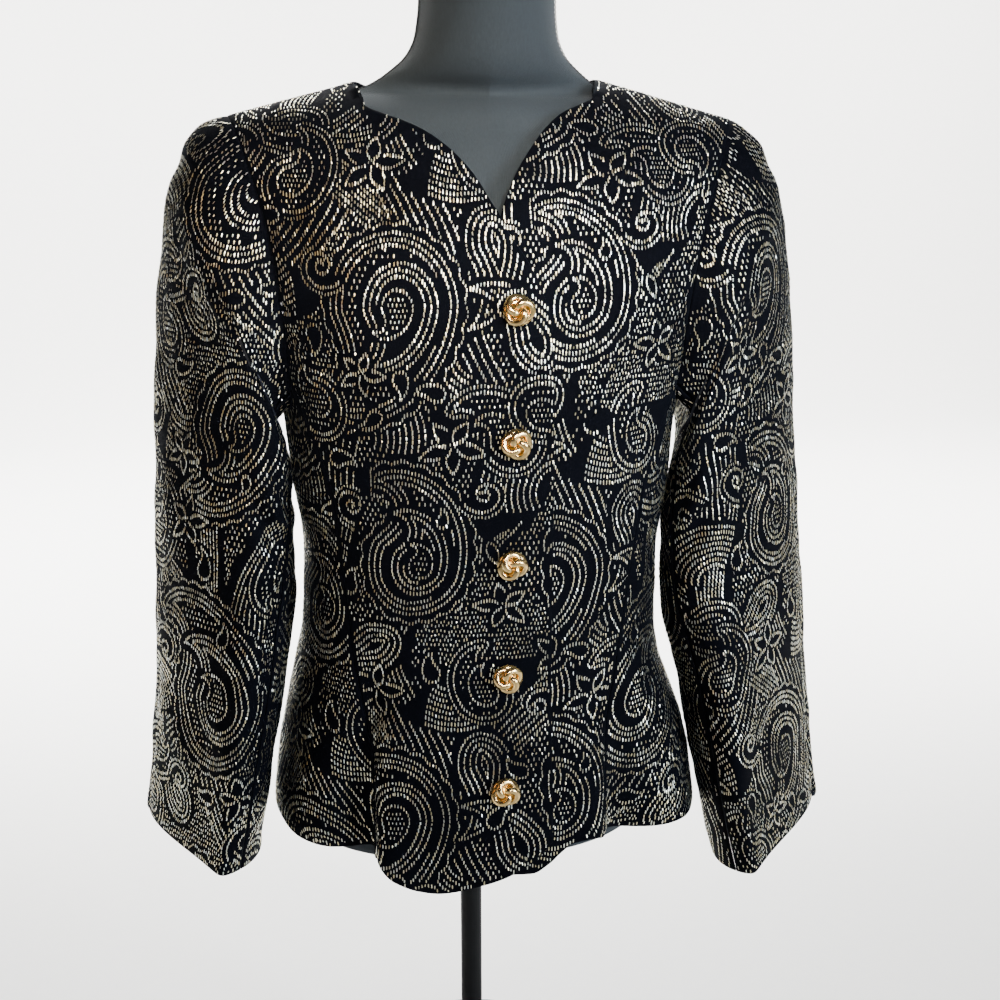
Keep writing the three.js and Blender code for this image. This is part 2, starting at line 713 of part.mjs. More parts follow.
for (const { name, side, turns, columns } of sleevePieces) {
  const total = columns[0] + columns[1];
  const middle = columns[0] / total;
  const pointAt = (s, t) => {
    const round = s < middle ? mix(turns[0], turns[1], s / middle)
      : mix(turns[1], turns[2], (s - middle) / (1 - middle));
    return sleevePoint(side, round > 1 ? round - 1 : round, sleeveAlong(t));
  };
  const geometry = wall(pointAt, (point, s, t) => sleeveCentre(side, sleeveAlong(t)), total, SLEEVE_ROWS);
  add(name, leaned(geometry), velvet);
}

add("form_body", dressForm(), jersey);

BUTTON_Z.forEach((z, i) => {
  const [angle, height] = onSurface(BUTTON_X, z);
  const seat = bodyPoint("front", angle, height);
  const up = bodyPoint("front", angle, height + 4).sub(bodyPoint("front", angle, height - 4));
  const across = bodyPoint("front", angle + 1, height).sub(bodyPoint("front", angle - 1, height));
  const normal = across.cross(up).normalize();
  const mesh = add(`button_${i + 1}`, knotButton(), gold);
  mesh.quaternion.setFromUnitVectors(new THREE.Vector3(0, 0, 1), normal);
  mesh.position.copy(seat).addScaledVector(normal, SEAM);
  mesh.position.x += LEAN * (seat.z - FORM_BOTTOM);
});

const pole = new THREE.CylinderGeometry(POLE_RADIUS, POLE_RADIUS, FORM_BOTTOM - BASE.bossTop - 2 * SEAM, 24);
pole.rotateX(Math.PI / 2);
add("stand_pole", pole, blackMetal).position.z = (FORM_BOTTOM + BASE.bossTop) / 2;

const baseProfile = [
  [0, 0], [BASE.radius - BASE.edge, 0], [BASE.radius, BASE.edge], [BASE.radius, BASE.thick - BASE.edge],
  [BASE.radius - BASE.edge, BASE.thick], [BASE.boss + BASE.edge, BASE.thick],
  [BASE.boss, BASE.thick + BASE.edge], [BASE.boss, BASE.bossTop - BASE.edge],
  [BASE.boss - BASE.edge, BASE.bossTop], [0, BASE.bossTop],
].map(([r, z]) => new THREE.Vector2(r, z));
const base = new THREE.LatheGeometry(baseProfile, 32);
base.rotateX(Math.PI / 2);
add("stand_base", base, blackMetal);

export default model;
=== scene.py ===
# %% [markdown]
# A velvet jacket on a dress form
#
# The jacket is a women's fitted peplum jacket of near-black velvet, printed all
# over with a paisley of small metallic foil dashes and closed by five gold knot
# buttons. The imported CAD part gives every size. Here each cut piece is drawn
# again on the same surface with a finer grid, so that it can carry the pile, the
# small folds and the foil print.

# %% Load the frame
import json
import math

import bpy
import numpy as np
from mathutils import Euler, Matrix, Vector

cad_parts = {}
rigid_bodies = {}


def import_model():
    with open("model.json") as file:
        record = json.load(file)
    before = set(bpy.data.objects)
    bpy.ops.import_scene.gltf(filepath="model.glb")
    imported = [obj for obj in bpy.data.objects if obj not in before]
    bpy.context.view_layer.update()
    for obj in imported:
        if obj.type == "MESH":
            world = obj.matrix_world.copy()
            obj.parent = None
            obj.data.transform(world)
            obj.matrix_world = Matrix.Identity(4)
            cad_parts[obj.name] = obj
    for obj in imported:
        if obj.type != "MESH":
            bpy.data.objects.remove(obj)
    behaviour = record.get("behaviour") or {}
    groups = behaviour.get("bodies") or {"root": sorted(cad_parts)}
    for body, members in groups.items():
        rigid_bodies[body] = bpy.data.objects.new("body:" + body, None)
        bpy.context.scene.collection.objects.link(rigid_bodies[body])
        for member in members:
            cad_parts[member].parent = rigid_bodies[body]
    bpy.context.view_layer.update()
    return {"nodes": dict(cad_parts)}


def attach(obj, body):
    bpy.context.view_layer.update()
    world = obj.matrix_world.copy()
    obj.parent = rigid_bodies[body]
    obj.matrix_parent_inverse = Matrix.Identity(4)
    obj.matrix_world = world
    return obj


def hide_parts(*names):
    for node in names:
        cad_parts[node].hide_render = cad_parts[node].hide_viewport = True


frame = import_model()
MM = 0.001
scene = bpy.context.scene
print("CAD nodes:", len(frame["nodes"]))


def add_object(name, data):
    made = bpy.data.objects.new(name, data)
    scene.collection.objects.link(made)
    return made


# %% [markdown]
# Camera and light come first, because every later choice is judged through them.
# The photo was taken from a little above, 17 degrees down and 6 degrees to the
# side. Its light is warm on the viewer's left and cool daylight on the right,
# which is what makes the foil look gold on one side and silver on the other.

# %% Camera
CAMERA_PLACE = (-0.09534, -1.14631, 0.918)
CAMERA_TURN = (math.radians(73), 0, math.radians(-6))
LENS = 54.4

camera_data = bpy.data.cameras.new("camera")
camera_data.lens = LENS
camera_data.sensor_width = 36
camera = add_object("camera", camera_data)
camera.location = CAMERA_PLACE
camera.rotation_euler = Euler(CAMERA_TURN)
scene.camera = camera

# %% [markdown]
# The studio lights are soft boxes: area lights with a narrowed spread, so that
# each one reaches only its own part. Four small ones light the front, and three
# large ones light the floor and the sweep behind, which makes the white ground.

# %% Lights


def area_light(name, place, aim, size, power, color, spread):
    data = bpy.data.lights.new(name, "AREA")
    data.shape = "RECTANGLE"
    data.size, data.size_y = size
    data.energy = power
    data.spread = math.radians(spread)
    data.color = color
    light = add_object(name, data)
    light.location = place
    light.rotation_euler = (Vector(aim) - Vector(place)).to_track_quat("-Z", "Y").to_euler()


CHEST = (0, 0, 0.62)
SWEEP_WHITE = (1.0, 0.98, 0.95)
area_light("warm_left", (-1.5, -0.9, 1.25), CHEST, (0.25, 0.8), 0.4, (1.0, 0.60, 0.26), 75)
area_light("warm_chest", (-0.3, -1.7, 1.6), (-0.08, 0, 0.78), (0.35, 0.35), 0.5, (1.0, 0.84, 0.56), 15)
area_light("cool_right", (1.45, -1.3, 1.0), (0.1, 0, 0.62), (0.4, 1.0), 7.6, (0.86, 0.95, 1.0), 60)
area_light("front_high", (0.35, -1.8, 1.7), (0.05, 0, 0.74), (0.5, 0.5), 1.8, (1.0, 0.96, 0.88), 22)
area_light("overhead", (0, 2.4, 2.8), (0, 1.3, 0), (2.6, 1.2), 120, (1.0, 0.99, 0.97), 76)
for side, name in ((-1, "sweep_left"), (1, "sweep_right")):
    area_light(name, (side * 1.9, 0.8, 1.6), (side * 0.6, 3.2, 0.9), (1.2, 1.6), 190, SWEEP_WHITE, 140)
print("lights:", len(bpy.data.lights))

# %% [markdown]
# Materials are node trees, and node trees are arithmetic. Value wraps one socket
# so that the arithmetic can be written as such, and Nodes.make is the one way
# to add any other node.

# %% Shader arithmetic


class Value:
    """A number on its way through the nodes."""

    def __init__(self, nodes, socket):
        self.nodes, self.socket = nodes, socket

    def _math(self, operation, first, second):
        return self.nodes.make("ShaderNodeMath", {"operation": operation}, {0: first, 1: second})["Value"]

    def __add__(self, other):
        return self._math("ADD", self, other)

    def __mul__(self, other):
        return self._math("MULTIPLY", self, other)


class Made:
    """A node just made: its outputs by name."""

    def __init__(self, nodes, node):
        self.nodes, self.node = nodes, node

    def __getitem__(self, name):
        return Value(self.nodes, self.node.outputs[name])


class Nodes:
    """A node tree, for a material or for geometry."""

    def __init__(self, tree):
        self.tree = tree

    def make(self, kind, settings=None, values=None):
        """Adds a node: its settings, then its inputs, each a plain value or a link."""
        node = self.tree.nodes.new(kind)
        for name, value in (settings or {}).items():
            setattr(node, name, value)
        for name, value in (values or {}).items():
            socket = node.inputs[name]
            if isinstance(value, Value):
                self.tree.links.new(value.socket, socket)
            else:
                socket.default_value = value
        return Made(self, node)

    def blend(self, share, first, second):
        """A colour between two, by share. Each is a colour or a Value."""
        ends = [end if isinstance(end, Value) else (*end, 1) for end in (first, second)]
        node = self.make("ShaderNodeMix", {"data_type": "RGBA"}, {0: share, 6: ends[0], 7: ends[1]})
        return Value(self, node.node.outputs[2])


def material(name, build):
    made = bpy.data.materials.new(name)
    made.use_nodes = True
    nodes = Nodes(made.node_tree)
    for node in list(made.node_tree.nodes):
        made.node_tree.nodes.remove(node)
    shader = build(nodes)
    nodes.make("ShaderNodeOutputMaterial", None, {"Surface": shader["BSDF"]})
    return made


def noise(nodes, coords, scale, detail=2.0, roughness=0.5):
    return nodes.make("ShaderNodeTexNoise", None, {
        "Vector": coords, "Scale": scale, "Detail": detail, "Roughness": roughness})["Fac"]


def stretched(nodes, coords, scale):
    return nodes.make("ShaderNodeMapping", None, {"Vector": coords, "Scale": scale})["Vector"]


def bump(nodes, height, strength, distance):
    return nodes.make("ShaderNodeBump", None,
                      {"Height": height, "Strength": strength, "Distance": distance})["Normal"]


# %% [markdown]
# The room round the studio is dim, warm on one side and cool on the window's
# side. Foil is a mirror, so this is what its unlit dashes show.

# %% Room light
ROOM_DIM, ROOM_WINDOW = (0.024, 0.019, 0.014), (0.130, 0.145, 0.160)
world = bpy.data.worlds.new("studio")
scene.world = world
world.use_nodes = True
room = Nodes(world.node_tree)
around = room.make("ShaderNodeTexCoord")["Generated"]
room_side = room.make("ShaderNodeSeparateXYZ", None, {0: around})["X"]
to_window = room.make("ShaderNodeMapRange", {"interpolation_type": "SMOOTHSTEP"},
                      {"Value": room_side, "From Min": -0.6, "From Max": 0.8})["Result"]
world.node_tree.links.new(room.blend(to_window, ROOM_DIM, ROOM_WINDOW).socket,
                          world.node_tree.nodes["Background"].inputs["Color"])

# %% [markdown]
# Velvet is nearly black because its pile swallows light, and it glows only where
# the pile is seen from the side. That is what the sheen lobe is for. Noise at
# three sizes does the rest: single tufts in the bump, crushed patches in the
# roughness and slow shifts in the colour.

# %% Velvet and lining
VELVET_DEEP, VELVET_LIT = (0.0005, 0.0006, 0.0013), (0.0024, 0.0030, 0.0056)
LINING_DARK, LINING_LIT = (0.006, 0.007, 0.011), (0.02, 0.023, 0.034)


def velvet_look(nodes):
    coords = nodes.make("ShaderNodeTexCoord")["Object"]
    tufts = noise(nodes, stretched(nodes, coords, (1, 1, 0.4)), 1500, 3.0)
    crushed = noise(nodes, coords, 34, 4.0, 0.6)
    slow = noise(nodes, coords, 9)
    return nodes.make("ShaderNodeBsdfPrincipled", None, {
        "Base Color": nodes.blend(crushed * 0.6 + slow * 0.4, VELVET_DEEP, VELVET_LIT),
        "Roughness": crushed * 0.3 + 0.62,
        "Specular IOR Level": 0.02,
        "Sheen Weight": 0.02, "Sheen Roughness": 0.3, "Sheen Tint": (0.34, 0.5, 0.8, 1),
        "Normal": bump(nodes, tufts * 0.7 + crushed * 0.5, 0.5, 0.0007),
    })


def lining_look(nodes):
    coords = nodes.make("ShaderNodeTexCoord")["UV"]
    twill = nodes.make("ShaderNodeTexWave", {"wave_type": "BANDS", "bands_direction": "DIAGONAL"},
                       {"Vector": coords, "Scale": 420, "Distortion": 0.6, "Detail": 1.0})["Fac"]
    slow = noise(nodes, nodes.make("ShaderNodeTexCoord")["Object"], 14)
    return nodes.make("ShaderNodeBsdfPrincipled", None, {
        "Base Color": nodes.blend(twill * 0.4 + slow * 0.6, LINING_DARK, LINING_LIT),
        "Roughness": slow * 0.2 + 0.6, "Specular IOR Level": 0.12,
        "Normal": bump(nodes, twill, 0.2, 0.0003),
    })


velvet = material("velvet", velvet_look)
lining = material("lining", lining_look)

# %% [markdown]
# The foil is a thin metal film. Each dash gets its own tone between champagne
# and silver, which the dash's geometry carries as an attribute, and whole patches
# are painted dull and dark: painted shade that stands in for dashes catching less
# light. The other looks are plain coats with some unevenness.

# %% Foil, gold, jersey, thread, black paint and paper
FOIL_GOLD, FOIL_SILVER = (0.88, 0.77, 0.46), (0.86, 0.93, 0.90)
# The dark foil colour is painted shade, for dashes that catch less light.
FOIL_PAINTED_SHADE = (0.19, 0.17, 0.11)
BRASS_DULL, BRASS_BRIGHT = (0.72, 0.43, 0.13), (0.98, 0.76, 0.38)
JERSEY_DEEP, JERSEY_LIT = (0.013, 0.0165, 0.0215), (0.038, 0.047, 0.057)
THREAD_DEEP, THREAD_LIT = (0.002, 0.002, 0.003), (0.008, 0.009, 0.012)
PAINT_DEEP, PAINT_LIT = (0.004, 0.004, 0.0045), (0.012, 0.012, 0.013)
PAPER_LOW, PAPER_HIGH = (0.80, 0.80, 0.80), (0.84, 0.84, 0.83)


def foil_look(nodes):
    tone = nodes.make("ShaderNodeAttribute", {"attribute_name": "tone"})["Fac"]
    coords = nodes.make("ShaderNodeTexCoord")["Object"]
    scuffs = noise(nodes, coords, 900, 2.0)
    patches = noise(nodes, coords, 17, 3.0, 0.6)
    # Noise patches where the foil is painted darker: painted shade for dashes that catch less light.
    painted_shade = nodes.make("ShaderNodeMapRange", {"interpolation_type": "SMOOTHSTEP"}, {
        "Value": patches, "From Min": 0.42, "From Max": 0.68, "To Min": 0.0, "To Max": 0.75})["Result"]
    fresh = nodes.blend(tone, FOIL_GOLD, FOIL_SILVER)
    return nodes.make("ShaderNodeBsdfPrincipled", None, {
        "Base Color": nodes.blend(painted_shade, fresh, FOIL_PAINTED_SHADE),
        "Metallic": 0.95, "Roughness": scuffs * 0.2 + 0.24,
        "Normal": bump(nodes, scuffs, 0.25, 0.0002),
    })


def gold_look(nodes):
    coords = nodes.make("ShaderNodeTexCoord")["Object"]
    tarnish = noise(nodes, coords, 420, 3.0)
    scratches = noise(nodes, stretched(nodes, coords, (1, 1, 6)), 1400, 2.0)
    return nodes.make("ShaderNodeBsdfPrincipled", None, {
        "Base Color": nodes.blend(tarnish, BRASS_DULL, BRASS_BRIGHT),
        "Metallic": 1.0, "Roughness": tarnish * 0.18 + 0.1,
        "Normal": bump(nodes, scratches, 0.12, 0.0002),
    })


def jersey_look(nodes):
    wales = nodes.make("ShaderNodeTexWave", {"wave_type": "BANDS", "bands_direction": "X"},
                       {"Vector": nodes.make("ShaderNodeTexCoord")["UV"], "Scale": 300,
                        "Distortion": 1.2, "Detail": 2.0, "Detail Scale": 3.0})["Fac"]
    coords = nodes.make("ShaderNodeTexCoord")["Object"]
    heather = noise(nodes, stretched(nodes, coords, (1, 1, 0.3)), 700, 3.0, 0.65)
    slow = noise(nodes, coords, 8)
    return nodes.make("ShaderNodeBsdfPrincipled", None, {
        "Base Color": nodes.blend(heather * 0.7 + slow * 0.3, JERSEY_DEEP, JERSEY_LIT),
        "Roughness": heather * 0.2 + 0.72,
        "Specular IOR Level": 0.2,
        "Sheen Weight": 0.06, "Sheen Roughness": 0.5, "Sheen Tint": (0.6, 0.68, 0.8, 1),
        "Normal": bump(nodes, wales * 0.5 + heather * 0.6, 0.45, 0.0005),
    })


def thread_look(nodes):
    coords = nodes.make("ShaderNodeTexCoord")["Object"]
    twist = noise(nodes, coords, 2500, 2.0)
    return nodes.make("ShaderNodeBsdfPrincipled", None, {
        "Base Color": nodes.blend(twist, THREAD_DEEP, THREAD_LIT),
        "Roughness": twist * 0.2 + 0.6, "Normal": bump(nodes, twist, 0.4, 0.0002),
    })


def black_look(nodes):
    coords = nodes.make("ShaderNodeTexCoord")["Object"]
    peel = noise(nodes, coords, 320, 2.0)
    wear = noise(nodes, coords, 22, 4.0)
    return nodes.make("ShaderNodeBsdfPrincipled", None, {
        "Base Color": nodes.blend(wear, PAINT_DEEP, PAINT_LIT),
        "Roughness": wear * 0.2 + 0.45, "Specular IOR Level": 0.06,
        "Normal": bump(nodes, peel, 0.12, 0.0003),
    })


def floor_look(nodes):
    coords = nodes.make("ShaderNodeTexCoord")["Object"]
    grain = noise(nodes, coords, 60, 3.0)
    return nodes.make("ShaderNodeBsdfPrincipled", None, {
        "Base Color": nodes.blend(grain, PAPER_LOW, PAPER_HIGH), "Roughness": 0.8,
    })


foil = material("foil", foil_look)
gold = material("gold", gold_look)
jersey = material("jersey", jersey_look)
thread = material("thread", thread_look)
black_paint = material("black_paint", black_look)
floor_paint = material("floor_paint", floor_look)
print("materials:", [one.name for one in bpy.data.materials])

# %% [markdown]
# The CAD part draws the jacket's body on one smooth surface. Its two coordinates
# are an angle round the body and a height up the cloth, and each cut piece is the
# patch between four edges on it. The same tables stand here, in millimetres, so
# that the fine cloth lies exactly where the CAD walls do.

# %% Curves and tables


def curve(points):
    """A smooth curve through points that never overshoots them, for whole arrays."""
    xs, ys = np.array(points, float).T
    slopes = np.diff(ys) / np.diff(xs)
    tangents = np.concatenate([slopes[:1], slopes[:-1], slopes[-1:]])
    before, after = slopes[:-1], slopes[1:]
    total = np.where(before * after > 0, before + after, 1)
    tangents[1:-1] = np.where(before * after > 0, 2 * before * after / total, 0)

    def at(x):
        x = np.clip(np.asarray(x, float), xs[0], xs[-1])
        i = np.clip(np.searchsorted(xs, x, side="left") - 1, 0, len(xs) - 2)
        width = xs[i + 1] - xs[i]
        u = (x - xs[i]) / width
        rest = 1 - u
        return (ys[i] * (1 + 2 * u) * rest**2 + ys[i + 1] * u**2 * (3 - 2 * u)
                + width * (tangents[i] * u * rest**2 - tangents[i + 1] * u**2 * rest))

    return at


class Table:
    """A curve for each named column against the first."""

    def __init__(self, columns, lines):
        self.at = [line[0] for line in lines]
        for c, name in enumerate(columns[1:], 1):
            setattr(self, name, curve([(line[0], line[c]) for line in lines]))


def smooth(value, start, end):
    share = np.clip((value - start) / (end - start), 0, 1)
    return share * share * (3 - 2 * share)


def bell(distance, width):
    return np.exp(-((distance / width) ** 2))


def unit(vectors):
    """The same directions, of length one."""
    return vectors / np.maximum(np.linalg.norm(vectors, axis=-1, keepdims=True), 1e-9)


def on_plane(vectors, normal):
    """What is left of the vectors across a normal, of length one."""
    return unit(vectors - (vectors * normal).sum(-1, keepdims=True) * normal)


def run_along(line, weight=1):
    """Running length at each point of a line. The weight stretches its axes."""
    return np.concatenate([[0], np.cumsum(np.linalg.norm(np.diff(line, axis=0) * weight, axis=1))])


def at_lengths(line, lengths, at):
    """Points of a line at some of its running lengths."""
    return np.stack([np.interp(at, lengths, column) for column in line.T], 1)


# %% [markdown]
# The sizes are those of the CAD source: sections of the body, folds of the
# peplum, seams, armholes, and the hem and neck edge of each piece.

# %% Sizes of the body, from the CAD source
WALL, SEAM, SEAM_ANGLE = 2.0, 0.3, 0.09
FORM_BOTTOM, BUST_Z, LIFT, LEAN = 300, 650, 235, 0.024
SHOULDER_V = BUST_Z + LIFT * math.pi / 2
SHOULDER_TIP, SHOULDER_TIP_Z, SHOULDER_SLOPE = 190, 861, 0.27
SHOULDER_TILT, SHOULDER_FLAT, SHOULDER_Y = 0.013, 92, 5
SQUARE, BACK_FULL = 2.3, 0.75
BUTTON_X, BUTTON_Z = 15, [737.5, 645.5, 553.5, 461.5, 369.5]
LAP_TOP_X, LAP_TOP_Z, LAP_SLOPE, UNDERLAP_X = 41, 705, 0.033, -13
LAP_STEP, LAP_BLEND, LAP_START = WALL + 1.2, 42, 2.5
FOLD_HEM, FOLD_POWER, FOLD_NARROW = 290, 1.4, 0.75

BODY = Table(["z", "right", "left", "front", "back"], [
    (280, 164, 190, 121, 117), (320, 163, 186, 119, 115), (365, 159, 177, 116, 111),
    (400, 152, 166, 113, 106), (440, 145, 151, 111, 100), (470, 139, 145, 111, 97),
    (500, 137, 144, 113, 96), (535, 137, 144, 116, 98), (600, 146, 149, 122, 104),
    (650, 152, 153, 124, 110), (700, 163, 164, 124, 112), (740, 176, 176, 124, 112),
    (800, 194, 194, 124, 111), (862, 213, 213, 124, 110), (900, 224, 224, 124, 110),
])
# Each fold: angle round the body, width, depth at the hem, height where it starts
FOLDS = {
    "front": [(-35, 6.5, -27, 500), (-24, 6.0, 5, 480), (-56, 13, 7, 470),
              (37, 7.5, -25, 500), (24, 6.5, 4, 480), (58, 12, 7, 470)],
    "back": [(-31, 8, -17, 500), (31, 8, -17, 500), (-12, 9, 5, 480), (12, 9, 5, 480),
             (-58, 14, 7, 470), (58, 14, 7, 470)],
}
SEAMS = {
    "front": Table(["z", "right", "left"], [
        (280, 88, 103), (360, 90, 102), (420, 94, 102), (470, 99, 104), (530, 106, 110),
        (600, 114, 117), (645, 126, 129), (668, 145, 145)]),
    "back": Table(["z", "right", "left"], [
        (280, 92, 100), (360, 84, 90), (420, 73, 77), (470, 66, 68), (530, 70, 72),
        (600, 88, 90), (660, 112, 112), (710, 152, 152)]),
}
ARMHOLE = {
    "front": Table(["up", "angle", "turn"], [
        (0, 90, 0.6), (0.12, 73, 1.2), (0.22, 66, 3.8), (0.32, 63.6, 9), (0.45, 59, 17),
        (0.6, 55.2, 28), (0.75, 54.3, 42), (0.9, 56.4, 64), (1, 60, 90)]),
    "back": Table(["up", "angle", "turn"], [
        (0, 90, 0.6), (0.12, 76, 1.6), (0.22, 70.5, 5), (0.32, 67.8, 10.5), (0.45, 63.8, 19),
        (0.6, 60.4, 30), (0.75, 58.6, 44), (0.9, 58.4, 65), (1, 60, 90)]),
}
JOIN = {"front": 0.25, "back": 0.4}
HEM = {
    "front_right": [(0, 323), (0.07, 312), (0.15, 303), (0.25, 295), (0.4, 287.5), (0.54, 285),
                    (0.66, 287), (0.8, 295), (0.9, 304), (1, 311)],
    "front_left": [(0, 318), (0.1, 305), (0.22, 297), (0.38, 296), (0.5, 303), (0.58, 311),
                   (0.68, 319), (0.82, 321), (1, 317)],
    "side_front_right": [(0, 309), (0.3, 315), (0.6, 318), (1, 316)],
    "side_front_left": [(0, 317), (0.4, 314), (1, 306)],
    "side_back_right": [(0, 304), (0.5, 310), (1, 316)],
    "side_back_left": [(0, 301), (0.5, 302), (1, 306)],
    "back_right": [(0, 299), (1, 304)],
    "back_left": [(0, 299), (1, 301)],
}
NECK = {
    "front_right": [(41, 705), (39, 728), (33.5, 748), (22, 771), (9.5, 789), (-1.5, 808), (-12, 825),
                    (-25, 840), (-39, 851.5), (-56, 861), (-75, 867.5), (-90, 874), (-98, None)],
    "front_left": [(-13, 715), (-12, 738), (-7, 765), (0, 789), (8, 811), (17, 829), (29, 845),
                   (43, 859), (56, 868), (70, 873), (80, 878), (86, None)],
    "back_right": [(0, 876), (-30, 877), (-62, 880.5), (-86, 884), (-98, None)],
    "back_left": [(0, 876), (30, 877), (56, 880), (76, 884), (86, None)],
}
LOWER_ROWS, UPPER_ROWS = 15, {"front": 8, "back": 7}

# %% [markdown]
# These functions turn an angle and a height into a place on the cloth. Written
# for whole arrays, they place a panel of twenty thousand points at once.

# %% The surface of the body


def shoulder_z(x):
    across = np.abs(x)
    inner = np.maximum(SHOULDER_FLAT - across, 0)
    line = SHOULDER_TIP_Z + SHOULDER_SLOPE * (SHOULDER_TIP - across)
    return line - SHOULDER_SLOPE * inner * inner / (2 * SHOULDER_FLAT) - SHOULDER_TILT * x


def half_width(side, z):
    return np.where(side < 0, BODY.right(z), BODY.left(z))


def angle_of(x, z):
    share = np.clip(np.abs(x) / half_width(x, z), 0, 1)
    return np.sign(x) * np.degrees(np.arcsin(share ** (SQUARE / 2)))


def height_of(x, z):
    over = np.clip((z - BUST_Z) / (shoulder_z(x) - BUST_Z), 0, 1)
    return np.where(z <= BUST_Z, z, BUST_Z + LIFT * np.arcsin(over))


def on_surface(x, z):
    return np.stack(np.broadcast_arrays(angle_of(x, z), height_of(x, z)), -1)


def fold_depth(face, angle, z):
    depth = np.zeros(np.broadcast(angle, z).shape)
    for place, width, deep, top in FOLDS[face]:
        drop = np.clip((top - z) / (top - FOLD_HEM), 0, 1.05)
        wide = width * (FOLD_NARROW + (1 - FOLD_NARROW) * drop)
        depth = depth + deep * drop**FOLD_POWER * bell(angle - place, wide)
    return depth


def body_point(face, angle, height, inset=0):
    turn = np.maximum(0, (height - BUST_Z) / LIFT)
    radians = np.radians(np.minimum(np.abs(angle), 90))
    side = np.where(angle < 0, -1, 1)
    z = np.minimum(height, BUST_Z) + 0 * radians
    for _ in range(4):
        x = side * half_width(side, z) * np.sin(radians) ** (2 / SQUARE)
        z = np.where(turn > 0, BUST_Z + (shoulder_z(x) - BUST_Z) * np.sin(turn), z)
    round_share = np.maximum(np.cos(radians), 0) ** (2 / SQUARE)
    taper = np.maximum(np.cos(turn), 0)
    front = face == "front"
    full = BODY.front(z) * taper if front else BODY.back(z) * taper**BACK_FULL
    depth = full * round_share
    middle = SHOULDER_Y * np.clip((z - BUST_Z) / (SHOULDER_TIP_Z - BUST_Z), 0, 1)
    scale = 1 + (fold_depth(face, angle, z) - inset) / np.maximum(np.hypot(x, depth), 1)
    y = middle + (-1 if front else 1) * (depth * scale + SEAM / 2)
    return np.stack(np.broadcast_arrays(x * scale, y, z), -1)


def lap_x(z):
    return LAP_TOP_X + LAP_SLOPE * (LAP_TOP_Z - z)


def lap_inset(angle, height):
    z = np.minimum(height, LAP_TOP_Z)
    edge, blend = angle_of(lap_x(z), z), angle_of(lap_x(z) + LAP_BLEND, z)
    turn = np.clip((height - BUST_Z) / LIFT, 0, 1)
    return LAP_STEP / np.cos(turn) * (1 - smooth(angle, edge + LAP_START, blend))


def armhole_at(face, side, up):
    line = ARMHOLE[face]
    return np.stack([side * line.angle(up), BUST_Z + LIFT * np.radians(line.turn(up))], -1)


# %% [markdown]
# A cut piece is a patch between four edges: the inner and outer seam, the hem
# and the top. Blending the edges fills the patch, whatever its outline is.

# %% Edges of a cut piece


def mix(a, b, share):
    return a + (b - a) * share


def seam_line(face, side, hem_z, top_point, offset):
    seam = SEAMS[face]

    def at(share):
        z = mix(hem_z, seam.at[-1], share)
        x = side * (seam.right(z) if side < 0 else seam.left(z))
        near = smooth(share, 0.8, 1)
        angle = mix(angle_of(x, z), top_point[0], near) + offset
        return np.stack([angle, mix(height_of(x, z), top_point[1], near)], -1)

    return at


def along(points):
    """A smooth line through points, by share of its length."""
    points = np.array(points, float)
    lengths = run_along(points)
    parts = [curve(np.stack([lengths / lengths[-1], points[:, c]], 1)) for c in range(points.shape[1])]
    return lambda share: np.stack([part(share) for part in parts], -1)


def main_piece(name, face, side, inner_x, neck_columns, shoulder_columns):
    hem, neck, join = curve(HEM[name]), NECK[name], JOIN[face]
    total = LOWER_ROWS + UPPER_ROWS[face]
    split, neck_share = LOWER_ROWS / total, neck_columns / (neck_columns + shoulder_columns)
    lower = seam_line(face, side, hem(1.0), armhole_at(face, side, join), -side * SEAM_ANGLE)
    neck_line = along([on_surface(x, shoulder_z(x) if z is None else z) for x, z in neck])
    start, tip = neck_line(1.0), armhole_at("front", side, 1.0)

    def outer(t):
        over = np.clip((t - split) / (1 - split), 0, 1)
        upper = armhole_at(face, side, mix(join, 1, over))
        upper[..., 0] -= side * SEAM_ANGLE * (1 - over)
        return np.where((t <= split)[..., None], lower(np.minimum(t / split, 1)), upper)

    def top(s):
        over = np.clip((s - neck_share) / (1 - neck_share), 0, 1)
        shoulder = np.stack([mix(start[0], tip[0], over), SHOULDER_V + 0 * s], -1)
        return np.where((s <= neck_share)[..., None], neck_line(np.minimum(s / neck_share, 1)), shoulder)

    def inner(t):
        z = mix(hem(0.0), neck[0][1], t)
        return on_surface(inner_x(z), z)

    return {"face": face, "inner": inner, "outer": outer, "top": top, "hem": hem,
            "columns": neck_columns + shoulder_columns, "rows": total}


def side_piece(name, face, side):
    hem, join = curve(HEM[name]), JOIN[face]
    inner = seam_line(face, side, hem(0.0), armhole_at(face, side, join), side * SEAM_ANGLE)
    top_height = armhole_at(face, side, 0.0)[1]

    def outer(t):
        return np.stack([side * 90 + 0 * t, mix(hem(1.0), top_height, t)], -1)

    def top(s):
        edge = armhole_at(face, side, join * (1 - s))
        edge[..., 0] += side * SEAM_ANGLE * (1 - s)
        return edge

    return {"face": face, "inner": inner, "outer": outer, "top": top, "hem": hem,
            "columns": 5, "rows": LOWER_ROWS}


def on_piece(piece, s, t):
    """Angle and height of points on a piece, blended between its four edges."""
    inner, outer, top, hem = piece["inner"], piece["outer"], piece["top"], piece["hem"]
    ends = inner(np.zeros(1))[0, 0], outer(np.zeros(1))[0, 0]
    bottom = np.stack([mix(ends[0], ends[1], s), hem(s)], -1)
    corners = [np.array([ends[0], hem(0.0)]), np.array([ends[1], hem(1.0)]),
               top(np.zeros(1))[0], top(np.ones(1))[0]]
    s, t = s[..., None], t[..., None]
    sides = (1 - t) * bottom + t * top(s[..., 0]) + (1 - s) * inner(t[..., 0]) + s * outer(t[..., 0])
    return (sides - (1 - s) * (1 - t) * corners[0] - s * (1 - t) * corners[1]
            - (1 - s) * t * corners[2] - s * t * corners[3])


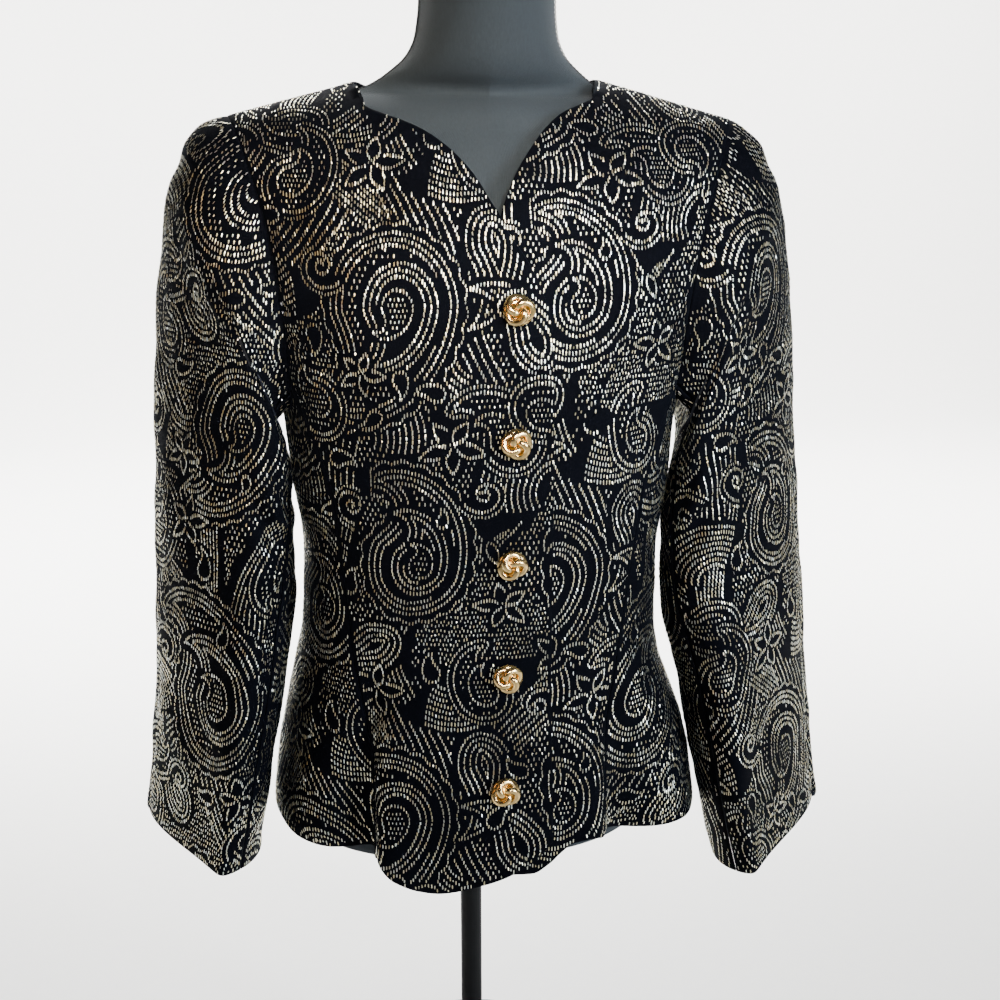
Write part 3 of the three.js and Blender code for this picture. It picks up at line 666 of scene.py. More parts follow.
BODY_PIECES = {
    "front_right": main_piece("front_right", "front", -1, lap_x, 10, 4),
    "front_left": main_piece("front_left", "front", 1, lambda z: UNDERLAP_X + 0 * z, 8, 4),
    "back_right": main_piece("back_right", "back", -1, lambda z: -SEAM / 2 + 0 * z, 5, 4),
    "back_left": main_piece("back_left", "back", 1, lambda z: SEAM / 2 + 0 * z, 5, 4),
    "side_front_right": side_piece("side_front_right", "front", -1),
    "side_front_left": side_piece("side_front_left", "front", 1),
    "side_back_right": side_piece("side_back_right", "back", -1),
    "side_back_left": side_piece("side_back_left", "back", 1),
}
print("pieces of the body:", len(BODY_PIECES))

# %% [markdown]
# A sleeve is a row of rings from the armhole to the cuff. Near the armhole the
# rings take its shape, further down they follow the table.

# %% Sleeves
SLEEVE_COLUMNS = ["along", "inner_x", "inner_z", "outer_x", "outer_z", "front", "back",
                  "skew", "tilt", "crease"]
SLEEVE = {
    -1: Table(SLEEVE_COLUMNS, [
        (0, 153, 652, 188.6, 860, 58, 66, 0, 0, 0), (0.04, 157, 646, 206, 855, 62, 68, 1, 0, 0),
        (0.08, 160, 640, 218, 843, 65, 69, 3, 0, 0), (0.13, 159, 628, 227, 822, 68, 69, 7, 0, 0),
        (0.2, 154, 610, 236, 790, 71, 67, 19, 2, 0.05), (0.3, 151, 580, 238, 735, 73, 62, 31, 3, 0.12),
        (0.42, 149, 545, 243, 665, 73, 56, 30, 4, 0.2), (0.55, 147, 497, 249, 580, 74, 49, 23, 6, 0.35),
        (0.7, 154, 431, 253, 482, 77, 41, 20, 10, 0.45), (0.85, 166, 357, 259, 384, 80, 35, 18, 15, 0.55),
        (1, 176, 285, 270, 297, 82, 30, 16, 19, 0.6)]),
    1: Table(SLEEVE_COLUMNS, [
        (0, 154, 652, 188.6, 860, 58, 66, 0, 0, 0), (0.04, 158, 646, 201, 852, 62, 68, 1, 0, 0),
        (0.08, 161, 641, 213, 840, 65, 69, 2, 0, 0), (0.13, 161, 631, 223, 820, 67, 69, 5, 0, 0),
        (0.2, 157, 610, 233, 787, 69, 67, 16, 2, 0.05), (0.3, 153, 574, 242, 732, 71, 62, 31, 4, 0.12),
        (0.42, 150, 535, 251, 655, 71, 56, 32, 6, 0.2), (0.55, 153, 483, 261, 570, 72, 49, 31, 10, 0.3),
        (0.7, 169, 413, 277, 468, 75, 40, 26, 15, 0.45), (0.85, 186, 336, 291, 366, 78, 30, 26, 20, 0.55),
        (1, 205, 259, 306, 274, 80, 21, 26, 24, 0.6)]),
}
# Each fold: where it is round and down the sleeve, its width and length, and its depth
SLEEVE_FOLDS = [(0.2, 0.47, 0.09, 0.035, -4), (0.27, 0.55, 0.1, 0.03, -4),
                (0.19, 0.63, 0.09, 0.035, -3.5), (0.34, 0.38, 0.08, 0.05, -3),
                (0.12, 0.33, 0.07, 0.06, -4)]
UNDERARM_GAP, CAP_END, SEAM_ROUND, ALONG_POWER = 1.2, 0.3, 0.0018, 1.35
SLEEVE_FRONT, SLEEVE_BACK = JOIN["front"] / 2, 1 - JOIN["back"] / 2


def armhole_point(side, turn):
    front = turn <= 0.5
    up = np.where(front, 2 * turn, 2 * (1 - turn))
    points = []
    for face in ("front", "back"):
        edge = armhole_at(face, side, up)
        points.append(body_point(face, edge[..., 0], edge[..., 1]))
    point = np.where(front[..., None], points[0], points[1])
    ends = (up < 1e-6) | (up > 1 - 1e-6)
    point[..., 1] = np.where(ends, SHOULDER_Y * (up > 0.5), point[..., 1])
    point[..., 0] += side * 2.5 * SEAM
    point[..., 2] += UNDERARM_GAP * (1 - smooth(up, 0, 0.35))
    return point


def ring_point(ring, side, turn, place):
    out, ahead = -np.cos(2 * np.pi * turn), np.sin(2 * np.pi * turn)
    pinch = 1 - ring.crease(place) * np.maximum(ahead, 0) ** 2
    half_x = (ring.outer_x(place) - ring.inner_x(place)) / 2
    half_z = (ring.outer_z(place) - ring.inner_z(place)) / 2
    x = ring.inner_x(place) + half_x + out * pinch * half_x - ahead * ring.skew(place)
    reach = np.where(ahead > 0, ring.front(place), ring.back(place))
    y = -ahead * reach + out * ring.tilt(place)
    z = ring.inner_z(place) + half_z + out * pinch * half_z
    return np.stack([side * x, y, z], -1)


def sleeve_centre(side, place):
    ring = SLEEVE[side]
    x = (ring.inner_x(place) + ring.outer_x(place)) / 2
    z = (ring.inner_z(place) + ring.outer_z(place)) / 2
    return np.stack([side * x, (ring.back(place) - ring.front(place)) / 2, z], -1)


def sleeve_point(side, turn, place):
    turn, place = np.broadcast_arrays(turn % 1.0, place)
    ring = SLEEVE[side]
    point = ring_point(ring, side, turn, place)
    keep = (1 - smooth(place, 0, CAP_END))[..., None]
    point = point + keep * (armhole_point(side, turn) - ring_point(ring, side, turn, 0 * place))
    fold = np.zeros(turn.shape)
    for centre, where, width, length, depth in SLEEVE_FOLDS:
        slant = place - where - 0.25 * (turn - centre)
        fold += depth * bell(turn - centre, width) * bell(slant, length)
    out = point - sleeve_centre(side, place)
    out[..., 2] = 0
    return point + unit(out) * fold[..., None]


# %% [markdown]
# The CAD walls carry the big folds. Worn cloth also has small ones: drag lines
# from the bust to the buttons, creases inside the elbow and a slow unevenness
# everywhere. They move points along the cloth's normal, and depend only on the
# place in space, so two pieces stay together at their seam.

# %% Small folds
# Each line: the side of the garment, its two ends in x and z, width and depth
DRAG_LINES = [
    ("front", -128, 712, -70, 655, 13, -2.6), ("front", 126, 712, 72, 655, 13, -2.4),
    ("front", -4, 556, -82, 566, 6, -1.8), ("front", 40, 552, 112, 570, 6, -1.8),
    ("front", -120, 566, -66, 598, 8, -2.0), ("front", 118, 566, 70, 600, 8, -1.8),
    ("front", -122, 512, -70, 484, 8, -2.0), ("front", 122, 512, 74, 480, 8, -2.0),
    ("front", 0, 648, -70, 660, 8, -1.4), ("front", 44, 640, 100, 664, 8, -1.4),
    ("front", -62, 838, -112, 770, 14, -1.8), ("front", 62, 838, 110, 768, 14, -1.8),
    ("front", -150, 806, -118, 740, 11, -2.2), ("front", 150, 806, 120, 742, 11, -2.0),
    ("back", -10, 540, -100, 548, 8, -2.2), ("back", 10, 528, 100, 542, 8, -2.2),
    ("back", -20, 505, -108, 512, 8, -1.8), ("back", 22, 498, 108, 505, 8, -1.8),
    ("back", -60, 790, -140, 770, 14, -2.4), ("back", 60, 790, 140, 770, 14, -2.4),
]
# The same for the sleeves, by share of the way round and down: ends, width, depth
SLEEVE_LINES = [
    (0.10, 0.50, 0.34, 0.44, 0.018, -3.2), (0.08, 0.56, 0.30, 0.60, 0.016, -2.8),
    (0.16, 0.68, 0.36, 0.74, 0.016, -2.2), (0.05, 0.42, 0.26, 0.36, 0.018, -2.6),
    (0.18, 0.25, 0.34, 0.16, 0.018, -2.4), (0.62, 0.52, 0.86, 0.46, 0.020, -2.6),
    (0.60, 0.60, 0.84, 0.62, 0.020, -2.2), (0.30, 0.86, 0.44, 0.78, 0.018, -1.8),
    (0.42, 0.10, 0.56, 0.13, 0.016, -1.4), (0.66, 0.16, 0.80, 0.24, 0.020, -2.0),
]
UNEVEN = [((0.021, 0.013, 0.031), 0.55), ((0.043, -0.03, 0.017), 0.4), ((-0.07, 0.05, 0.06), 0.22),
          ((0.11, 0.02, -0.09), 0.12)]


def to_line(px, py, x0, y0, x1, y1):
    """Distance to a segment, and the share of the way along it."""
    dx, dy = x1 - x0, y1 - y0
    share = np.clip(((px - x0) * dx + (py - y0) * dy) / (dx * dx + dy * dy), 0, 1)
    return np.hypot(px - x0 - share * dx, py - y0 - share * dy), share


def small_folds(face, points):
    depth = np.zeros(points.shape[:-1])
    for where, x0, z0, x1, z1, width, deep in DRAG_LINES:
        if where != face:
            continue
        distance, share = to_line(points[..., 0], points[..., 2], x0, z0, x1, z1)
        ridge = bell(distance, width) - 0.5 * bell(distance - 1.9 * width, width)
        depth += deep * ridge * np.sin(np.pi * np.clip(share, 0.06, 0.94))
    return depth


def sleeve_creases(turn, place):
    depth = np.zeros(turn.shape)
    for r0, a0, r1, a1, width, deep in SLEEVE_LINES:
        distance, share = to_line(turn * 0.45, place, r0 * 0.45, a0, r1 * 0.45, a1)
        ridge = bell(distance, width) - 0.5 * bell(distance - 2 * width, width)
        depth += deep * ridge * np.sin(np.pi * np.clip(share, 0.05, 0.95))
    return depth


def unevenness(points):
    wave = np.zeros(points.shape[:-1])
    for k, (pitch, size) in enumerate(UNEVEN):
        wave += size * np.sin(points @ np.array(pitch) * 2.2 + 1.7 * k)
    return wave


# %% [markdown]
# Every panel becomes a grid of points with a second pair of coordinates: where
# the point lay on the flat cloth. The foil print is laid out flat, as a printer
# does, and comes onto the body through them.

# %% Panels as fine grids
EDGE_STEPS = np.array([0, 0.1, 0.28, 0.58])
ROLL_DEPTH, ROLL_WIDTH, SEAM_KEEP = 0.7, 2.4, 16
TUCK, TUCK_END, SLICES, SLEEVE_ROWS = 1.5, 0.012, 260, 150
LATTICE_LOW, LATTICE_ROWS = 270, 220


def fine(count):
    """Shares from 0 to 1 in steps of 1 / count, closer together at both ends."""
    middle = np.arange(1, count) / count
    return np.concatenate([EDGE_STEPS / count, middle, 1 - EDGE_STEPS[::-1] / count])


def steps(points, axis):
    return np.linalg.norm(np.diff(points, axis=axis), axis=-1)


def run_from(lengths, axis, start):
    """Running length along an axis, zero at the start index."""
    total = np.cumsum(lengths, axis=axis)
    total = np.concatenate([np.zeros_like(np.take(total, [0], axis)), total], axis=axis)
    return total - np.take(total, [start], axis)


def grid_normals(points, outward):
    """Outward normals, evened over neighbours so that pinched cells of the grid count little."""
    across, up = np.gradient(points, axis=1), np.gradient(points, axis=0)
    normal = np.cross(across, up)
    normal *= np.where((normal * outward).sum(-1, keepdims=True) < 0, -1, 1)
    for _ in range(2):
        wide = np.pad(normal, ((1, 1), (1, 1), (0, 0)), mode="edge")
        rows = wide[:-2] + wide[1:-1] + wide[2:]
        normal = rows[:, :-2] + rows[:, 1:-1] + rows[:, 2:]
    return unit(normal)


def to_edge(points):
    """How far each point lies from the nearest edge of its panel."""
    across, up = run_from(steps(points, 1), 1, 0), run_from(steps(points, 0), 0, 0)
    return np.minimum.reduce([across, across[:, -1:] - across, up, up[-1:] - up])


def flat_lattice(face):
    """Flat coordinates of the body's surface against angle and height."""
    angles = np.linspace(-90, 90, 181)
    heights = np.linspace(LATTICE_LOW, SHOULDER_V, LATTICE_ROWS + 1)
    points = body_point(face, angles[None, :], heights[:, None])
    u = run_from(steps(points, 1), 1, 90)
    v = run_from(steps(points, 0), 0, int(np.argmin(np.abs(heights - BUST_Z)))) + BUST_Z
    return u, v


def sample(grid, row, column):
    """A grid's value between its points."""
    j = np.clip(row.astype(int), 0, grid.shape[0] - 2)
    i = np.clip(column.astype(int), 0, grid.shape[1] - 2)
    a, b = row - j, column - i
    if grid.ndim == 3:
        a, b = a[..., None], b[..., None]
    return ((1 - a) * (1 - b) * grid[j, i] + (1 - a) * b * grid[j, i + 1]
            + a * (1 - b) * grid[j + 1, i] + a * b * grid[j + 1, i + 1])


def sleeve_flat(points, side, middle):
    """Flat coordinates: down the axis by the middle column, and round it in level slices."""
    down = points @ unit(sleeve_centre(side, np.array(1.0)) - sleeve_centre(side, np.array(0.2)))
    spine = down[:, middle]
    length = run_along(points[:, middle])
    v = length[-1] - np.interp(down, spine, length) - down + np.clip(down, spine[0], spine[-1])
    levels = np.linspace(v.min(), v.max(), SLICES)
    columns = range(points.shape[1])
    slices = np.stack([np.stack([np.interp(levels, v[::-1, i], points[::-1, i, c]) for c in range(3)], 1)
                       for i in columns], 1)
    around = run_from(steps(slices, 1), 1, middle)
    return np.stack([np.interp(v[:, i], levels, around[:, i]) for i in columns], 1), v


LATTICE = {face: flat_lattice(face) for face in ("front", "back")}
panels = {}


def finish_panel(name, points, u, v, middle, fold):
    """Folds a panel's points, rolls its edge in, leans it and keeps it."""
    outward = points - middle
    normal = grid_normals(points, outward)
    edge = to_edge(points)
    roll = ROLL_DEPTH * np.clip(1 - edge / ROLL_WIDTH, 0, 1) ** 2
    moved = (fold + unevenness(points)) * smooth(edge, 0, SEAM_KEEP) - roll
    points = points + normal * moved[..., None]
    points[..., 0] += LEAN * np.maximum(points[..., 2] - FORM_BOTTOM, 0)
    panels[name] = {"points": points, "normal": grid_normals(points, outward),
                    "u": u, "v": v, "edge": edge}


FINE_COLUMNS = {"front": 4, "back": 6, "side": 6}
for name, piece in BODY_PIECES.items():
    kind = "side" if name.startswith("side") else piece["face"]
    t, s = np.meshgrid(fine(piece["rows"] * (9 if kind == "side" else 7)),
                       fine(piece["columns"] * FINE_COLUMNS[kind]), indexing="ij")
    place = on_piece(piece, s, t)
    inset = lap_inset(place[..., 0], place[..., 1]) if name == "front_left" else 0
    points = body_point(piece["face"], place[..., 0], place[..., 1], inset)
    row = (place[..., 1] - LATTICE_LOW) / (SHOULDER_V - LATTICE_LOW) * LATTICE_ROWS
    column = place[..., 0] + 90
    flat_u, flat_v = [sample(grid, row, column) for grid in LATTICE[piece["face"]]]
    axis = points * [0.6, 0, 1] - [0, 0, 45]
    finish_panel(name, points, flat_u, flat_v, axis, small_folds(piece["face"], points))

for side_name, side in (("right", -1), ("left", 1)):
    for kind, turns, share, columns in (
        ("top", (SLEEVE_FRONT + SEAM_ROUND, 0.5, SLEEVE_BACK - SEAM_ROUND), 8 / 15, 75),
        ("under", (SLEEVE_BACK + SEAM_ROUND, 1, 1 + SLEEVE_FRONT - SEAM_ROUND), 0.5, 48),
    ):
        t, s = np.meshgrid(fine(SLEEVE_ROWS), fine(columns), indexing="ij")
        turn = np.where(s < share, mix(turns[0], turns[1], s / share),
                        mix(turns[1], turns[2], (s - share) / (1 - share)))
        place = t**ALONG_POWER
        points = sleeve_point(side, turn, place)
        points[..., 0] -= side * TUCK * (1 - smooth(place, 0, TUCK_END))
        middle_column = int(np.argmin(np.abs(turn[0] - turns[1])))
        flat_u, flat_v = sleeve_flat(points, side, middle_column)
        creases = sleeve_creases(turn % 1.0, place) * smooth(place, 0, 0.08)
        finish_panel(f"sleeve_{kind}_{side_name}", points, flat_u, flat_v,
                     sleeve_centre(side, place), creases)

print("panels:", {name: panel["points"].shape[:2] for name, panel in panels.items()})

# %% [markdown]
# A panel's mesh is the outer grid, an inner grid a wall's thickness in, and the
# rim between them. The outer side and rim are velvet, the inner side is lining.

# %% Cloth meshes


def mesh_object(name, points, faces, materials, indices=None, uv=None):
    """An object from points in millimetres. Indices give faces their material, uv the cut."""
    mesh = bpy.data.meshes.new(name)
    faces = faces if isinstance(faces, list) else faces.tolist()
    mesh.from_pydata((np.asarray(points) * MM).tolist(), [], faces)
    for one in materials:
        mesh.materials.append(one)
    if indices is not None:
        mesh.polygons.foreach_set("material_index", np.asarray(indices, np.int32))
    if uv is not None:
        corners = np.zeros(len(mesh.loops), np.int32)
        mesh.loops.foreach_get("vertex_index", corners)
        flat = (uv[corners] * MM).astype(np.float32).ravel()
        mesh.uv_layers.new(name="cut").data.foreach_set("uv", flat)
    mesh.shade_smooth()
    return add_object(name, mesh)


def grid_faces(rows, columns, start=0):
    j, i = np.meshgrid(np.arange(rows - 1), np.arange(columns - 1), indexing="ij")
    first = (start + j * columns + i).ravel()
    return np.stack([first, first + 1, first + columns + 1, first + columns], 1)


def rim_loop(rows, columns):
    at = np.arange(rows * columns).reshape(rows, columns)
    return np.concatenate([at[0, :-1], at[:-1, -1], at[-1, :0:-1], at[:0:-1, 0]])


def cloth(name, panel):
    """A panel as a closed wall: outer side, inner side and rim."""
    points, normal = panel["points"], panel["normal"]
    rows, columns = points.shape[:2]
    outer, inner = points.reshape(-1, 3), (points - WALL * normal).reshape(-1, 3)
    front = grid_faces(rows, columns)
    behind = grid_faces(rows, columns, rows * columns)[:, ::-1]
    loop = rim_loop(rows, columns)
    after = np.roll(loop, -1)
    rim = np.stack([after, loop, loop + rows * columns, after + rows * columns], 1)
    faces = np.concatenate([front, behind, rim])
    across = points[0, 1] - points[0, 0]
    up = points[1, 0] - points[0, 0]
    if np.cross(across, up) @ normal[0, 0] < 0:
        faces = faces[:, ::-1]
    indices = np.concatenate([np.zeros(len(front)), np.ones(len(behind)), np.zeros(len(rim))])
    flat = np.stack([panel["u"], panel["v"]], -1).reshape(-1, 2)
    made = mesh_object(f"cloth_{name}", np.concatenate([outer, inner]), faces, [velvet, lining], indices,
                       np.concatenate([flat, flat]))
    crossed = np.cross(points[1:, 1:] - points[:-1, :-1], points[1:, :-1] - points[:-1, 1:])
    panel["area"] = float(np.linalg.norm(crossed, axis=-1).sum()) / 2 * MM * MM
    panel["cut"] = [float(np.ptp(panel[key])) * MM for key in ("u", "v")]
    return made


cloths = {name: cloth(name, panel) for name, panel in panels.items()}
print("cloth:", round(sum(panel["area"] for panel in panels.values()), 3), "square metres")

# %% [markdown]
# The print. Paisley is a traditional figure: a bent drop, drawn as nested lines,
# with volutes, sprays and dotted grounds between. Here every line is a row of
# short upright dashes, as the foil on the cloth is. The figures are painted one
# over another into a repeat, and each clears the ground under it first.

# %% The repeat
REPEAT = np.array([312.0, 396.0])
DASH_STEP, LINE_GAP = 3.3, 4.5
WEAVE = 1.32
LINE, FINE_LINE, DOT, SMALL = (0.86, 3.3), (0.76, 3.0), (0.86, 2.7), (0.72, 2.3)
chance = np.random.default_rng(5)
print_places = np.zeros((0, 2))
print_sizes = np.zeros((0, 2))
CHUNK = 2000


def paint(places, size):
    global print_places, print_sizes
    places = np.asarray(places, float).reshape(-1, 2)
    print_places = np.concatenate([print_places, places])
    print_sizes = np.concatenate([print_sizes, np.tile(size, (len(places), 1))])


def inside(outline, places):
    result = np.zeros(len(places), bool)
    x, y = places[:, 0], places[:, 1]
    for (x0, y0), (x1, y1) in zip(outline, np.roll(outline, -1, 0)):
        if y0 == y1:
            continue
        crossing = (y0 > y) != (y1 > y)
        result ^= crossing & (x < x0 + (y - y0) * (x1 - x0) / (y1 - y0))
    return result


def distance_to(outline, places):
    best = np.full(len(places), 1e9)
    for start in range(0, len(places), CHUNK):
        part = places[start:start + CHUNK]
        best[start:start + CHUNK] = np.sqrt(((part[:, None] - outline[None]) ** 2).sum(-1)).min(1)
    return best


def clear(outline, margin):
    """Takes away what was painted inside an outline, and this close to it."""
    global print_places, print_sizes
    centre = outline.mean(0)
    near = (print_places - centre + REPEAT / 2) % REPEAT - REPEAT / 2 + centre
    reach = np.abs(outline - centre).max(0) + margin
    maybe = np.where((np.abs(near - centre) <= reach).all(1))[0]
    gone = inside(outline, near[maybe]) | (distance_to(outline, near[maybe]) < margin)
    keep = np.ones(len(print_places), bool)
    keep[maybe[gone]] = False
    print_places, print_sizes = print_places[keep], print_sizes[keep]


def spaced(line, step, closed=False):
    """Points along a line, closer together where it runs level than where it runs upright."""
    if closed:
        line = np.concatenate([line, line[:1]])
    lengths = run_along(line, [WEAVE, 1])
    count = max(int(round(lengths[-1] / step)), 1)
    at = np.linspace(0, lengths[-1], count + 1)[: count if closed else count + 1]
    return at_lengths(line, lengths, at)


def edge_and_inward(outline):
    """Even points round an outline, and the way in at each."""
    even = spaced(outline, 1.0, closed=True)
    tangent = unit(np.roll(even, -1, 0) - np.roll(even, 1, 0))
    inward = np.stack([-tangent[:, 1], tangent[:, 0]], 1)
    x, y = even.T
    clockwise = np.sum(x * np.roll(y, -1) - y * np.roll(x, -1)) < 0
    return even, -inward if clockwise else inward


def offset(outline, depth):
    """An outline moved in by a depth, or out if it is minus, where it still fits."""
    even, inward = edge_and_inward(outline)
    moved = even + inward * depth
    fits = distance_to(even, moved) >= abs(depth) * 0.97
    runs = np.split(np.arange(len(moved)), np.where(np.diff(fits.astype(int)) != 0)[0] + 1)
    return [moved[run] for run in runs if fits[run[0]] and len(run) > 3]


def nested(outline, depths, size=LINE):
    for depth in depths:
        for run in offset(outline, depth):
            paint(spaced(run, DASH_STEP), size)


def staggered(outline, depth, dx, dy, size):
    low, high = outline.min(0), outline.max(0)
    y, x = np.meshgrid(np.arange(low[1], high[1], dy), np.arange(low[0], high[0], dx), indexing="ij")
    x[1::2] += dx / 2
    places = np.stack([x.ravel(), y.ravel()], 1)
    places = places[inside(outline, places)]
    paint(places[distance_to(outline, places) > depth], size)


def turned(points, degrees, flip=1):
    c, s = math.cos(math.radians(degrees)), math.sin(math.radians(degrees))
    return (points * [flip, 1]) @ np.array([[c, s], [-s, c]])


# A drop's points to a side, how far up its bulb ends, and where its outline
# passes the bulb's two sides
DROP_POINTS, BULB, BULB_SIDES = 140, 0.3, (0.15, 0.85)


def drop(length, width, curl):
    """A bent drop about its round end's middle, its tip up."""
    share = np.linspace(0, 1, DROP_POINTS)
    heading = curl * share**2.1
    spine = np.cumsum(np.stack([np.sin(heading), np.cos(heading)], 1), 0) * length / len(share)
    tail = np.clip((share - BULB) / (1 - BULB), 0, 1)
    half = width / 2 * np.where(share < BULB, np.sqrt(1 - (1 - np.minimum(share / BULB, 1)) ** 2),
                                (1 - tail**1.25) ** 1.15)
    across = np.stack([np.cos(heading), -np.sin(heading)], 1) * half[:, None]
    outline = np.concatenate([spine - across, (spine + across)[::-1]])
    return outline - spine[int(BULB * len(share))]


def leaf(length, width):
    share = np.linspace(0, 1, 24)
    half = width / 2 * np.sin(np.pi * share**0.8)
    side = np.stack([half, share * length], 1)
    return np.concatenate([side * [-1, 1], side[::-1]])


# %% [markdown]
# Nine kinds of figure make the whole print. The large paisleys hold a smaller
# drop that lies close to one side, so their lines run together there and spread
# on the other, as they do on the cloth. Each figure is placed by one row of the
# layout below.

# %% Figures


def drawn_in(outline, factor, side, near):
    """The outline smaller: this near to itself on one side of the bulb, far on the other."""
    left, right = (int(share * len(outline)) for share in BULB_SIDES)
    anchor, centre = outline[(left, right)[side]], outline[[left, right]].mean(0)
    held = anchor + unit(centre - anchor) * near / (1 - factor)
    return held + (outline - held) * factor


SCALLOP = {"from": 9.4, "deep": 2.8, "wide": 15, "fits": 8.6, "clear": 14}


def scalloped(outline):
    """A row of small arcs round an outline."""
    even, inward = edge_and_inward(outline)
    wave = np.abs(np.sin(np.arange(len(even)) * np.pi / SCALLOP["wide"]))
    depth = SCALLOP["from"] + SCALLOP["deep"] * wave
    moved = even - inward * depth[:, None]
    paint(spaced(moved[distance_to(even, moved) > SCALLOP["fits"]], DASH_STEP), FINE_LINE)


def grand_paisley(place, size, turn, flip):
    outline = turned(drop(size, size * 0.5, 2.5), turn, flip) + place
    clear(outline, SCALLOP["clear"])
    nested(outline, [-LINE_GAP], FINE_LINE)
    scalloped(outline)
    nested(outline, [0.0, LINE_GAP])
    staggered(outline, 8.0, 4.0, 4.4, DOT)
    second = drawn_in(outline, 0.64, 0, 9.0)
    clear(second, 5.6)
    nested(second, [0.0, LINE_GAP, 2 * LINE_GAP])
    third = drawn_in(second, 0.42, 1, 13.0)
    clear(third, 4.0)
    nested(third, [0.0], FINE_LINE)
    staggered(third, 3.4, 2.9, 3.9, SMALL)
    tail = turned(np.array([(0.05 * size, 0.3 * size)]), turn, flip)[0] + place
    black_drop(tail, size * 0.13, turn + 15, flip)


def paisley(place, size, turn, flip):
    outline = turned(drop(size, size * 0.5, 2.3), turn, flip) + place
    clear(outline, 7)
    nested(outline, [-LINE_GAP], FINE_LINE)
    nested(outline, [0.0])
    staggered(outline, 4.0, 3.6, 4.2, SMALL)
    second = drawn_in(outline, 0.56, 1, 5.0)
    clear(second, 4.0)
    nested(second, [0.0])
    staggered(second, 3.4, 2.8, 3.8, SMALL)


def feather(place, size, turn, flip):
    """A drop of many close lines, as a bent plume."""
    outline = turned(drop(size, size * 0.42, 1.5), turn, flip) + place
    clear(outline, 5)
    nested(outline, np.arange(0, size * 0.2, LINE_GAP))


def black_drop(place, size, turn, flip):
    """A small drop left bare inside one line."""
    outline = turned(drop(size, size * 0.5, 1.3), turn, flip) + place
    clear(outline, 3.4)
    paint(spaced(outline, DASH_STEP, closed=True), LINE)


def volute(place, size, turn, flip):
    """A line that winds in, with part of a second one outside it."""
    angle = np.linspace(0, 3.6 * np.pi, 160)
    around = np.stack([np.cos(angle), np.sin(angle)], 1)
    radius = size * np.exp(-0.17 * angle)[:, None]
    line = turned(radius * around, turn, flip) + place
    clear(line[:46], 5)
    paint(spaced(line, 2.9), LINE)
    outer = turned(((radius + 4.4) * around)[:52], turn, flip)
    paint(spaced(outer + place, DASH_STEP), FINE_LINE)


def flower(place, size, turn, flip):
    """Five petals about three dots."""
    for k in range(5):
        petal = leaf(size * (1 + 0.22 * (k % 2)), size * 0.52) + [0, size * 0.16]
        petal = turned(petal, turn + 72 * k, flip) + place
        clear(petal, 3.4)
        paint(spaced(petal, 2.7, closed=True), LINE)
    paint(turned(np.array([[0, 1.8], [1.8, -1.2], [-1.8, -1.2]]), turn) + place, SMALL)


def spray(place, size, turn, flip):
    """A bent stem with leaves to either side."""
    share = np.linspace(0, 1, 40)
    stem = np.stack([size * 0.28 * np.sin(2.4 * share), size * share], 1)
    paint(spaced(turned(stem, turn, flip) + place, 3.0), FINE_LINE)
    for k, at in enumerate((0.2, 0.4, 0.6, 0.8, 0.98)):
        side = 1 if k % 2 else -1
        blade = turned(leaf(size * (0.34 - 0.16 * at), size * 0.13), -side * (52 - 40 * at))
        blade = turned(blade + stem[int(at * 39)], turn, flip)
        clear(blade + place, 3.0)
        paint(spaced(blade + place, 2.7, closed=True), LINE)


def fan(place, size, turn, flip):
    """Part rings, one outside another."""
    for k, radius in enumerate(np.arange(size * 0.3, size, LINE_GAP)):
        sweep = np.radians(np.linspace(-62 + 3 * k, 62 - 2 * k, 60))
        arc = np.stack([radius * np.sin(sweep), radius * np.cos(sweep)], 1)
        paint(spaced(turned(arc, turn, flip) + place, DASH_STEP), LINE)


def wedge(place, size, turn, flip):
    """A fan on ground of its own."""
    sweep = np.radians(np.linspace(-66, 66, 40))
    ring = np.stack([size * np.sin(sweep), size * np.cos(sweep)], 1)
    outline = turned(np.concatenate([ring, ring[::-1] * 0.3]), turn, flip) + place
    clear(outline, 3)
    fan(place, size, turn, flip)
